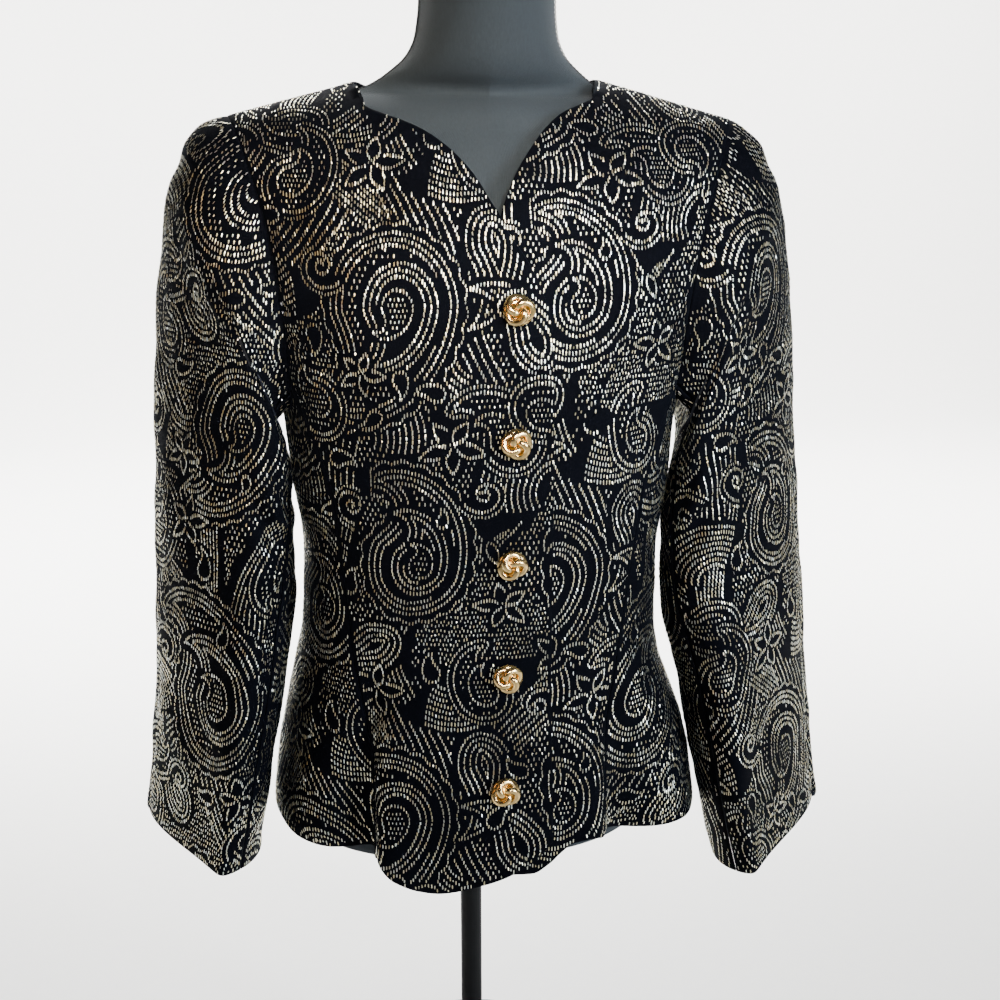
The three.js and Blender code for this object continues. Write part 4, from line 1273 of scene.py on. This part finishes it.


# %% [markdown]
# The layout is worked out on the repeat: large figures first, small ones
# in the gaps. Each row gives the figure, its place in millimetres, its size, its
# turn in degrees and whether it is flipped. Ribbons of lines and a dotted ground
# lie under them.

# %% Layout of the repeat
LAYOUT = [
    (wedge, 30, 150, 64, 60, 1), (wedge, 190, 190, 58, -50, 1), (wedge, 120, 330, 62, 170, 1),
    (wedge, 270, 20, 60, 200, 1), (wedge, 280, 250, 52, 100, 1), (wedge, 160, 60, 50, 20, 1),
    (feather, 128, 168, 100, -30, 1), (feather, 292, 326, 96, 200, 1), (feather, 8, 262, 90, 15, -1),
    (feather, 204, 24, 84, 130, 1), (feather, 108, 392, 78, -60, -1),
    (spray, 108, 250, 58, 40, 1), (spray, 300, 120, 60, 160, 1), (spray, 24, 60, 54, -80, 1),
    (grand_paisley, 72, 92, 172, 14, 1), (grand_paisley, 220, 282, 164, 196, 1),
    (grand_paisley, 238, 96, 126, -38, -1), (grand_paisley, 66, 310, 132, 158, -1),
    (paisley, 156, 210, 84, 74, 1), (paisley, 304, 192, 82, 8, -1), (paisley, 150, 22, 74, 118, 1),
    (paisley, 152, 372, 80, -64, -1), (paisley, 16, 210, 76, -104, 1), (paisley, 288, 386, 70, 58, 1),
    (volute, 140, 118, 19, 30, 1), (volute, 168, 312, 18, 140, -1), (volute, 20, 374, 18, -40, 1),
    (volute, 286, 150, 16, 210, 1), (volute, 188, 138, 16, 90, -1), (volute, 108, 12, 15, 0, 1),
    (flower, 112, 232, 17, 10, 1), (flower, 262, 186, 18, 40, 1), (flower, 34, 18, 16, -20, 1),
    (flower, 206, 386, 18, 60, 1), (flower, 122, 284, 15, 30, 1), (flower, 302, 62, 16, 15, 1),
    (flower, 196, 236, 14, 50, 1),
    (black_drop, 92, 196, 27, 20, 1), (black_drop, 176, 172, 25, -70, 1),
    (black_drop, 26, 116, 24, 130, -1), (black_drop, 160, 262, 26, 200, 1),
    (black_drop, 250, 224, 24, 60, -1), (black_drop, 300, 284, 26, -20, 1),
    (black_drop, 130, 348, 24, 100, 1), (black_drop, 250, 8, 26, 30, 1),
    (black_drop, 68, 10, 24, -110, -1), (black_drop, 184, 72, 24, 10, 1),
    (black_drop, 6, 322, 24, 70, 1), (black_drop, 206, 204, 22, 150, 1),
]
# Each ribbon: its middle, swing and phase, and the swing and phase of its ripple
RIBBONS = [(34, 40, 0.0, 16, 0.8), (118, 44, 2.0, 14, 2.0), (190, 38, 3.3, 18, 4.4),
           (262, 42, 4.9, 15, 3.3)]
RIBBON_LINES, RIBBON_HALF, FLARE = (-4, -3, -2, -1, 0, 1, 2, 3), 20, 0.35
CLOSE, WIDE, GROUND_STRAY = (110, 104, SMALL), (74, 96, DOT), (0.28, 0.5)


def ground(close):
    """Staggered rows of dots, close together in some places and wide apart in the rest."""
    columns, lines, size = CLOSE if close else WIDE
    row, column = np.meshgrid(np.arange(lines), np.arange(columns), indexing="ij")
    share_x, share_y = (column + (row % 2) / 2) / columns, row / lines
    zone = (np.sin(2 * np.pi * (share_x + 0.3 * np.sin(2 * np.pi * share_y)))
            + np.cos(2 * np.pi * (2 * share_y + share_x)))
    here = (zone > 0.3) == close
    places = np.stack([share_x[here], share_y[here]], 1) * REPEAT
    paint(places + chance.normal(0, 1, places.shape) * GROUND_STRAY, size)


def ribbon(centre, swing, phase, ripple, second):
    """A bundle of lines down the repeat that pinches and flares as it goes."""
    y = np.linspace(0, REPEAT[1], 420)
    x = (centre + swing * np.sin(2 * np.pi * y / REPEAT[1] + phase)
         + ripple * np.sin(4 * np.pi * y / REPEAT[1] + second))
    slope = np.gradient(x, y)
    for shift in (-REPEAT[0], 0, REPEAT[0]):
        edge = np.concatenate([np.stack([x + shift - RIBBON_HALF, y], 1),
                               np.stack([x + shift + RIBBON_HALF, y], 1)[::-1]])
        print_sizes[inside(edge, print_places)] = 0
    gap = LINE_GAP * (1 + FLARE * np.sin(2 * np.pi * y / REPEAT[1] + second)) * np.sqrt(1 + slope**2)
    for line in RIBBON_LINES:
        paint(spaced(np.stack([x + line * gap, y], 1), DASH_STEP), LINE)


print("figures in the layout:", len(LAYOUT), "over", len(RIBBONS), "ribbons")
ground(True)
ground(False)
for row in RIBBONS:
    ribbon(*row)
for figure, x, y, size, turn, flip in LAYOUT:
    figure(np.array([x, y], float), size, turn, flip)
print_places %= REPEAT
kept = print_sizes[:, 0] > 0
print_places, print_sizes = print_places[kept], print_sizes[kept]
print("dashes in a repeat:", len(print_places))

# %% [markdown]
# Where lines run close the printer's screen merges the dots. Here the earlier of
# two dashes that would lie on each other is left out, by sorting them into small
# cells.

# %% Thin the crowded places
CELL = np.array([1.35, 2.1])


def thinned(places, sizes):
    for shift in (0.0, 0.5):
        cells = np.floor(places / CELL + shift).astype(np.int64)
        key = cells[:, 0] * 100003 + cells[:, 1]
        _, first = np.unique(key[::-1], return_index=True)
        keep = np.sort(len(key) - 1 - first)
        places, sizes = places[keep], sizes[keep]
    return places, sizes


print_places, print_sizes = thinned(print_places, print_sizes)
print("after thinning:", len(print_places))

# %% [markdown]
# To lay the print on a panel, each dash's flat place is looked up in the panel's
# grid. The grid is bent, so the lookup is a short search: start at the nearest
# coarse point, then step by the local slope until the place fits.

# %% From flat cloth to the panel
EDGE_PLAIN, FIT = 2.3, 0.3
SEARCH_STEPS, LONGEST = 14, 5


def locate(panel, u, v):
    """Row and column of flat places on a panel, which of them fit, and the way up the cloth."""
    grid = np.stack([panel["u"], panel["v"]], -1)
    rows, columns = grid.shape[:2]
    jj, ii = np.meshgrid(np.arange(0, rows, 7), np.arange(0, columns, 5), indexing="ij")
    coarse = grid[jj, ii].reshape(-1, 2)
    target = np.stack([u, v], 1)
    start = np.concatenate([((target[k:k + CHUNK, None] - coarse[None]) ** 2).sum(-1).argmin(1)
                            for k in range(0, len(target), CHUNK)])
    row, column = jj.ravel()[start].astype(float), ii.ravel()[start].astype(float)
    for _ in range(SEARCH_STEPS):
        j = np.clip(row.astype(int), 0, rows - 2)
        i = np.clip(column.astype(int), 0, columns - 2)
        a, b = (row - j)[:, None], (column - i)[:, None]
        p00, p01, p10, p11 = grid[j, i], grid[j, i + 1], grid[j + 1, i], grid[j + 1, i + 1]
        miss = (1 - a) * (1 - b) * p00 + (1 - a) * b * p01 + a * (1 - b) * p10 + a * b * p11 - target
        d_row = (1 - b) * (p10 - p00) + b * (p11 - p01)
        d_column = (1 - a) * (p01 - p00) + a * (p11 - p10)
        det = d_row[:, 0] * d_column[:, 1] - d_row[:, 1] * d_column[:, 0]
        det = np.where(np.abs(det) < 1e-9, 1e-9, det)
        step_row = -(miss[:, 0] * d_column[:, 1] - miss[:, 1] * d_column[:, 0]) / det
        step_column = -(d_row[:, 0] * miss[:, 1] - d_row[:, 1] * miss[:, 0]) / det
        row = np.clip(row + np.clip(step_row, -LONGEST, LONGEST), -0.4, rows - 0.6)
        column = np.clip(column + np.clip(step_column, -LONGEST, LONGEST), -0.4, columns - 0.6)
    fits = ((np.abs(miss).max(1) < FIT) & (row >= 0) & (row <= rows - 1)
            & (column >= 0) & (column <= columns - 1))
    up_cloth = np.stack([-d_column[:, 0], d_row[:, 0]], 1) / det[:, None]
    return row, column, fits, up_cloth


def lay_print(panel, shift):
    """Place, normal, upright way and size of every dash that falls on a panel."""
    low = np.array([panel["u"].min(), panel["v"].min()])
    high = np.array([panel["u"].max(), panel["v"].max()])
    first = np.floor((low - shift) / REPEAT).astype(int)
    last = np.floor((high - shift) / REPEAT).astype(int)
    tiles = [(print_places + shift + REPEAT * [a, b], print_sizes)
             for a in range(first[0], last[0] + 1) for b in range(first[1], last[1] + 1)]
    places, sizes = (np.concatenate(part) for part in zip(*tiles))
    keep = ((places >= low) & (places <= high)).all(1)
    places, sizes = places[keep], sizes[keep]
    row, column, fits, slope = locate(panel, *places.T)
    row, column, sizes, slope = row[fits], column[fits], sizes[fits], slope[fits]
    plain = sample(panel["edge"], row, column) > EDGE_PLAIN
    row, column, sizes, slope = row[plain], column[plain], sizes[plain], slope[plain]
    points, normal = sample(panel["points"], row, column), unit(sample(panel["normal"], row, column))
    ahead = sample(panel["points"], row + slope[:, 0] * 0.5, column + slope[:, 1] * 0.5) - points
    return points, normal, on_plane(ahead, normal), sizes


# %% [markdown]
# Geometry Nodes put one small foil flake on each place. The flake is a low
# eight-sided dome of eight triangles. A point carries its turn and its size, and
# the tree gives each flake a tone of its own from a fixed seed.

# %% The flake and its tree
FLAKE_HEIGHT, FLAKE_LIFT = 0.2, 0.1
TILT = 0.2


def flake_mesh():
    quarter = [(0.5, 0.36), (0.24, 0.5)]
    rim = quarter + [(-x, y) for x, y in quarter[::-1]]
    rim += [(-x, -y) for x, y in rim]
    points = [(x, y, 0) for x, y in rim] + [(0, 0, 1)]
    faces = [(k, (k + 1) % 8, 8) for k in range(8)]
    made = mesh_object("flake", np.array(points) / MM, faces, [foil])
    made.hide_render = True
    return made


def geometry_tree(name, inputs):
    """A tree with one geometry out and named inputs, and its input node."""
    tree = bpy.data.node_groups.new(name, "GeometryNodeTree")
    tree.interface.new_socket("Geometry", in_out="OUTPUT", socket_type="NodeSocketGeometry")
    for title, kind in inputs.items():
        tree.interface.new_socket(title, in_out="INPUT", socket_type=f"NodeSocket{kind}")
    nodes = Nodes(tree)
    return tree, nodes, nodes.make("NodeGroupInput")


def give_out(nodes, geometry, finish):
    real = nodes.make("GeometryNodeRealizeInstances", None, {"Geometry": geometry})
    done = nodes.make("GeometryNodeSetMaterial", None, {"Geometry": real["Geometry"], "Material": finish})
    nodes.make("NodeGroupOutput", None, {"Geometry": done["Geometry"]})


def dash_tree(flake):
    tree, nodes, given = geometry_tree("foil_dashes", {
        "Places": "Geometry", "Size factor": "Float", "Tone seed": "Int", "Finish": "Material"})
    shape = nodes.make("GeometryNodeObjectInfo", None, {"Object": flake})
    turn, size = [nodes.make("GeometryNodeInputNamedAttribute", {"data_type": "FLOAT_VECTOR"},
                             {"Name": name}) for name in ("turn", "size")]
    scaled = nodes.make("ShaderNodeVectorMath", {"operation": "SCALE"},
                        {0: size["Attribute"], "Scale": given["Size factor"]})
    rotation = nodes.make("FunctionNodeEulerToRotation", None, {"Euler": turn["Attribute"]})
    placed = nodes.make("GeometryNodeInstanceOnPoints", None, {
        "Points": given["Places"], "Instance": shape["Geometry"],
        "Rotation": rotation["Rotation"], "Scale": scaled["Vector"]})
    tone = nodes.make("FunctionNodeRandomValue", {"data_type": "FLOAT"}, {"Seed": given["Tone seed"]})
    toned = nodes.make(
        "GeometryNodeStoreNamedAttribute", {"data_type": "FLOAT", "domain": "INSTANCE"},
        {"Geometry": placed["Instances"], "Name": "tone", "Value": Value(nodes, tone.node.outputs[1])})
    give_out(nodes, toned["Geometry"], given["Finish"])
    return tree


def euler_from(axis_x, axis_y, axis_z):
    """The turns that bring x, y and z onto three axes."""
    return np.stack([np.arctan2(axis_y[:, 2], axis_z[:, 2]), -np.arcsin(np.clip(axis_x[:, 2], -1, 1)),
                     np.arctan2(axis_x[:, 1], axis_x[:, 0])], 1)


def applied(made, tree, values):
    """Adds the tree, sets its inputs by identifier and returns the plain mesh."""
    modifier = made.modifiers.new("make", "NODES")
    modifier.node_group = tree
    for item in tree.interface.items_tree:
        if item.item_type == "SOCKET" and item.in_out == "INPUT" and item.name in values:
            modifier[item.identifier] = values[item.name]
    evaluated = made.evaluated_get(bpy.context.evaluated_depsgraph_get())
    mesh = bpy.data.meshes.new_from_object(evaluated)
    made.modifiers.remove(modifier)
    return mesh


flake = flake_mesh()
dashes = dash_tree(flake)

# %% [markdown]
# Each panel is printed on its own stretch of the cloth, so no two start alike.
# The flakes lean a little this way and that, which is why some flash and others
# stay dull.

# %% Print every panel
SHIFTS = {
    "front_right": (20, 60), "front_left": (135, 250), "side_front_right": (250, 10),
    "side_front_left": (60, 330), "back_right": (180, 120), "back_left": (40, 200),
    "side_back_right": (100, 300), "side_back_left": (290, 80),
    "sleeve_top_right": (150, 40), "sleeve_top_left": (30, 190),
    "sleeve_under_right": (220, 260), "sleeve_under_left": (90, 140),
}


def print_panel(name, seed):
    points, normal, ahead, sizes = lay_print(panels[name], np.array(SHIFTS[name], float))
    wobble = chance.normal(0, TILT, (len(points), 2))
    side = np.cross(ahead, normal)
    normal = unit(normal + wobble[:, :1] * side + wobble[:, 1:] * ahead)
    ahead = on_plane(ahead, normal)
    side = np.cross(ahead, normal)
    sizes = sizes * chance.uniform(0.85, 1.15, sizes.shape)
    scale = np.concatenate([sizes, np.full((len(sizes), 1), FLAKE_HEIGHT)], 1) * MM
    source = mesh_object("places", points + normal * FLAKE_LIFT, [], [])
    for title, values in (("turn", euler_from(side, ahead, normal)), ("size", scale)):
        source.data.attributes.new(title, "FLOAT_VECTOR", "POINT").data.foreach_set(
            "vector", values.astype(np.float32).ravel())
    mesh = applied(source, dashes, {"Size factor": 1.0, "Tone seed": seed, "Finish": foil})
    bpy.data.objects.remove(source)
    mesh.shade_smooth()
    return add_object(f"foil_{name}", mesh), len(points)


prints = {}
for seed, name in enumerate(panels):
    prints[name], count = print_panel(name, seed)
    print(name, count, "dashes")
bpy.data.objects.remove(flake)

# %% [markdown]
# A knot button is a fat cord of metal plaited into a dome. One closed line makes
# it: its distance from the middle swings three times in two rounds, and it rises
# and dips as often, so that it goes over and under itself in turn.

# %% Knot buttons
KNOT = {"middle": 6.1, "swing": 3.2, "base": 4.2, "dome": 3.0, "weave": 1.9, "wide": 2.7, "thick": 2.5}
KNOT_STEPS, KNOT_SIDES = 240, 14
CUP = [(0.0, 0.4), (3.2, 0.4), (3.4, 1.3), (8.2, 1.6), (10.9, 2.8), (11.1, 3.8), (8.0, 4.8), (0.0, 5.2)]


def tube(path_points, up, wide, thick, sides):
    """A closed tube of oval section along a closed line."""
    tangent = unit(np.roll(path_points, -1, 0) - np.roll(path_points, 1, 0))
    across = unit(np.cross(tangent, up))
    lift = np.cross(across, tangent)
    turn = np.linspace(0, 2 * np.pi, sides, endpoint=False)
    points = (path_points[:, None] + wide * np.cos(turn)[None, :, None] * across[:, None]
              + thick * np.sin(turn)[None, :, None] * lift[:, None]).reshape(-1, 3)
    k, i = np.meshgrid(np.arange(len(path_points)), np.arange(sides), indexing="ij")
    k2, i2 = (k + 1) % len(path_points), (i + 1) % sides
    faces = np.stack([k * sides + i, k * sides + i2, k2 * sides + i2, k2 * sides + i], -1).reshape(-1, 4)
    return points, faces


def lathe(profile, sides):
    """A closed turned shape: its profile starts and ends on the axis."""
    turn = np.linspace(0, 2 * np.pi, sides, endpoint=False)
    rings = np.array([[(r * math.cos(a), r * math.sin(a), z) for a in turn] for r, z in profile[1:-1]])
    points = np.concatenate([[(0, 0, profile[0][1])], rings.reshape(-1, 3), [(0, 0, profile[-1][1])]])
    faces = []
    count = len(profile) - 2
    for i in range(sides):
        j = (i + 1) % sides
        faces.append([0, 1 + j, 1 + i])
        for r in range(count - 1):
            a, b = 1 + r * sides, 1 + (r + 1) * sides
            faces.append([a + i, a + j, b + j, b + i])
        faces.append([len(points) - 1, 1 + (count - 1) * sides + i, 1 + (count - 1) * sides + j])
    return points, faces


def knot_points():
    turn = np.linspace(0, 4 * np.pi, KNOT_STEPS, endpoint=False)
    phase = turn * 3 / 2
    radius = KNOT["middle"] + KNOT["swing"] * np.cos(phase)
    rise = KNOT["base"] + KNOT["dome"] * (1 - (radius / 11) ** 2) + KNOT["weave"] * np.sin(phase)
    line = np.stack([radius * np.cos(turn), radius * np.sin(turn), rise], 1)
    up = line * [0.55, 0.55, 0] / np.maximum(radius, 1)[:, None] + [0, 0, 1]
    return tube(line, up, KNOT["wide"], KNOT["thick"], KNOT_SIDES)


def button(index, z):
    angle, height = on_surface(np.array(float(BUTTON_X)), np.array(float(z)))
    seat = body_point("front", angle, height)
    up = body_point("front", angle, height + 4) - body_point("front", angle, height - 4)
    across = body_point("front", angle + 1, height) - body_point("front", angle - 1, height)
    normal = unit(np.cross(across, up))
    seat[0] += LEAN * (seat[2] - FORM_BOTTOM)
    side = unit(np.cross(up, normal))
    spin = 0.9 * index
    first = math.cos(spin) * side + math.sin(spin) * np.cross(normal, side)
    turn = np.stack([first, np.cross(normal, first), normal])
    knot, knot_faces = knot_points()
    cup, cup_faces = lathe(CUP, 28)
    points = np.concatenate([knot, cup]) @ turn + seat + normal * SEAM
    faces = knot_faces.tolist() + [[k + len(knot) for k in face] for face in cup_faces]
    return mesh_object(f"knot_button_{index + 1}", points, faces, [gold])


buttons = [button(index, z) for index, z in enumerate(BUTTON_Z)]
print("buttons:", len(buttons), "with", len(buttons[0].data.polygons), "faces each")

# %% [markdown]
# The dress form is a padded torso under a jersey cover, cut off at the neck and
# below the hips. Under the cloth it is a few millimetres slimmer here than in the
# CAD part, which leaves room for the folds that press in.

# %% Dress form
FORM_COLUMNS = ["z", "half", "front", "back", "square"]
FORM = Table(FORM_COLUMNS, [
    (300, 138, 96, 90, 2.2), (303, 142, 100, 94, 2.2), (340, 142, 102, 97, 2.2),
    (400, 132, 99, 92, 2.2), (440, 124, 97, 86, 2.2), (475, 120, 97, 83, 2.2),
    (520, 124, 101, 84, 2.2), (580, 132, 107, 91, 2.2), (640, 138, 110, 98, 2.2),
    (690, 143, 104, 101, 2.2), (740, 149, 95, 100, 2.15), (785, 154, 85, 94, 2.05),
    (820, 156, 75, 82, 1.9), (845, 153, 65, 70, 1.68), (857, 149, 57, 63, 1.5),
    (865.8, 144.3, 53, 60, 1.36), (871.9, 132, 49, 56, 1.26), (876.2, 116, 44, 53, 1.2),
    (879, 100, 40, 50, 1.15), (883.9, 86, 41, 47, 1.18),
    (892, 73, 50, 44, 1.45), (906, 58, 57, 40, 1.85), (920, 52, 60, 35, 2), (945, 49.5, 64, 29, 2),
    (962, 49.5, 66, 26, 2), (965, 47, 64, 24, 2)])
FORM_TILT = (760, 855, 882, 920)
FORM_SIDES, FORM_ROUND, SLIM, SLIM_END = 144, 110, 3.0, (848, 872)


def form_point(turn, z):
    power = 2 / FORM.square(z)
    ahead, out = np.sin(turn), np.cos(turn)
    slim = SLIM * (1 - smooth(z, *SLIM_END)) * smooth(z, FORM_BOTTOM, FORM_BOTTOM + 30)
    depth = np.where(ahead > 0, slim - FORM.front(z), FORM.back(z) - slim)
    x = (FORM.half(z) - slim) * np.sign(out) * np.abs(out) ** power
    middle = SHOULDER_Y * np.clip((z - BUST_Z) / (SHOULDER_TIP_Z - BUST_Z), 0, 1)
    start, full, hold, end = FORM_TILT
    tilt = SHOULDER_TILT * x * smooth(z, start, full) * (1 - smooth(z, hold, end))
    y = middle + depth * np.abs(ahead) ** power
    return np.stack([x + LEAN * (z - FORM_BOTTOM), y, z - tilt], -1)


def dress_form():
    heights = np.unique(np.concatenate([np.linspace(a, b, max(int((b - a) / 4), 2) + 1)
                                        for a, b in zip(FORM.at, FORM.at[1:])]))
    turn = np.linspace(0, 2 * np.pi, FORM_SIDES, endpoint=False)
    grid = form_point(turn[None, :], heights[:, None])
    low, high = grid[0].mean(0), grid[-1].mean(0)
    rings = [low + (grid[0] - low) * share for share in (0.9, 0.97)]
    lids = [high + (grid[-1] - high) * share for share in (0.96, 0.7, 0.35)]
    grid = np.concatenate([np.array(rings) - [0, 0, 0.01], grid, np.array(lids) + [0, 0, 0.3]])
    count = len(grid)
    points = np.concatenate([grid.reshape(-1, 3), [low], [high + [0, 0, 0.3]]])
    k, i = np.meshgrid(np.arange(count - 1), np.arange(FORM_SIDES), indexing="ij")
    i2 = (i + 1) % FORM_SIDES
    faces = np.stack([k * FORM_SIDES + i2, k * FORM_SIDES + i, (k + 1) * FORM_SIDES + i,
                      (k + 1) * FORM_SIDES + i2], -1).reshape(-1, 4).tolist()
    last = (count - 1) * FORM_SIDES
    for i in range(FORM_SIDES):
        j = (i + 1) % FORM_SIDES
        faces.append([count * FORM_SIDES, i, j])
        faces.append([count * FORM_SIDES + 1, last + j, last + i])
    around = np.concatenate([np.tile(turn * FORM_ROUND, count), [0, 0]])
    up = np.concatenate([np.repeat(grid[:, :, 2].mean(1), FORM_SIDES), [FORM.at[0], FORM.at[-1]]])
    return mesh_object("form_cover", points, faces, [jersey], None, np.stack([around, up], 1))


form_cover = dress_form()
print("form cover:", len(form_cover.data.polygons), "faces")

# %% [markdown]
# The cover is sewn down each side of the neck and along the shoulders with an
# overlocked seam, which shows at the jacket's neckline. It is one thread that
# goes to and fro, so Geometry Nodes sweep a small ring along a zigzag line.

# %% Overlocked seam of the cover
ZIGZAG_STEP, ZIGZAG_WIDTH, THREAD_RADIUS = 1.7, 2.6, 0.55
SEAM_LOW, SEAM_HIGH, SEAM_TURN = 858, 958, 0.16


def thread_tree():
    tree, nodes, given = geometry_tree("thread", {
        "Line": "Geometry", "Radius": "Float", "Finish": "Material"})
    line = nodes.make("GeometryNodeMeshToCurve", None, {"Mesh": given["Line"]})
    ring = nodes.make("GeometryNodeCurvePrimitiveCircle", None,
                      {"Resolution": 6, "Radius": given["Radius"]})
    tube_mesh = nodes.make("GeometryNodeCurveToMesh", None, {
        "Curve": line["Curve"], "Profile Curve": ring["Curve"], "Fill Caps": True})
    give_out(nodes, tube_mesh["Mesh"], given["Finish"])
    return tree


threads = thread_tree()


def overlock(name, turn):
    heights = np.linspace(SEAM_LOW, SEAM_HIGH, 400)
    line = form_point(np.full(len(heights), turn), heights)
    lengths = run_along(line)
    line = at_lengths(line, lengths, np.arange(0, lengths[-1], ZIGZAG_STEP))
    tangent = unit(np.gradient(line, axis=0))
    out = np.cross([0, 1.0, 0], tangent)
    out *= np.sign((out * [math.cos(turn), 0, 0.4]).sum(1, keepdims=True))
    side = np.where(np.arange(len(line)) % 2, 1, -1)[:, None]
    zigzag = line + [0, ZIGZAG_WIDTH, 0] * side + out * THREAD_RADIUS
    mesh = bpy.data.meshes.new("line")
    mesh.from_pydata((zigzag * MM).tolist(), [(k, k + 1) for k in range(len(zigzag) - 1)], [])
    source = add_object("line", mesh)
    result = applied(source, threads, {"Radius": THREAD_RADIUS * MM, "Finish": thread})
    bpy.data.objects.remove(source)
    result.shade_smooth()
    return add_object(name, result)


overlocks = [overlock("form_seam_left", SEAM_TURN), overlock("form_seam_right", math.pi - SEAM_TURN)]
print("stitches of the seams:", [len(one.data.polygons) for one in overlocks], "faces")

# %% [markdown]
# The pole and the base are right as the CAD has them, so they stay and only get
# their paint. The floor turns up into a wall behind, as a photographer's paper
# sweep does, so that no edge shows behind the jacket.

# %% Stand and floor
for name in ("stand_pole", "stand_base"):
    slots = frame["nodes"][name].data.materials
    slots.clear()
    slots.append(black_paint)

FLOOR_FRONT, FLOOR_BACK, SWEEP_BEND, SWEEP_TOP, SWEEP_HALF = -5000, 2400, 800, 3400, 4500
bend = np.linspace(0, np.pi / 2, 17)
profile = np.concatenate([
    [[FLOOR_FRONT, 0]],
    np.stack([FLOOR_BACK + SWEEP_BEND * np.sin(bend), SWEEP_BEND * (1 - np.cos(bend))], 1),
    [[FLOOR_BACK + SWEEP_BEND, SWEEP_TOP]],
])
sweep = np.array([[(side * SWEEP_HALF, y, z) for side in (-1, 1)] for y, z in profile])
floor = mesh_object("floor", sweep.reshape(-1, 3), grid_faces(len(profile), 2), [floor_paint])

# %% [markdown]
# Last, each piece is set on the body it rides on, and the CAD node it
# stands for is hidden.

# %% Tell the frame
for name, piece in cloths.items():
    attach(piece, "root")
    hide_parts(name)
    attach(prints[name], "root")
    min(panels[name]["area"], panels[name]["cut"][0] * panels[name]["cut"][1])

for index, piece in enumerate(buttons):
    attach(piece, "root")
    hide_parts(f"button_{index + 1}")

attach(form_cover, "root")
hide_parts("form_body")
for piece in [form_cover, *overlocks]:
    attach(piece, "root")

# %% [markdown]
# The cut size and area of each panel are printed.

# %% Sizes of the panels
for name, panel in panels.items():
    print(f"{name}: cut {panel['cut'][0]:.3f} x {panel['cut'][1]:.3f} m, area {panel['area']:.4f}")
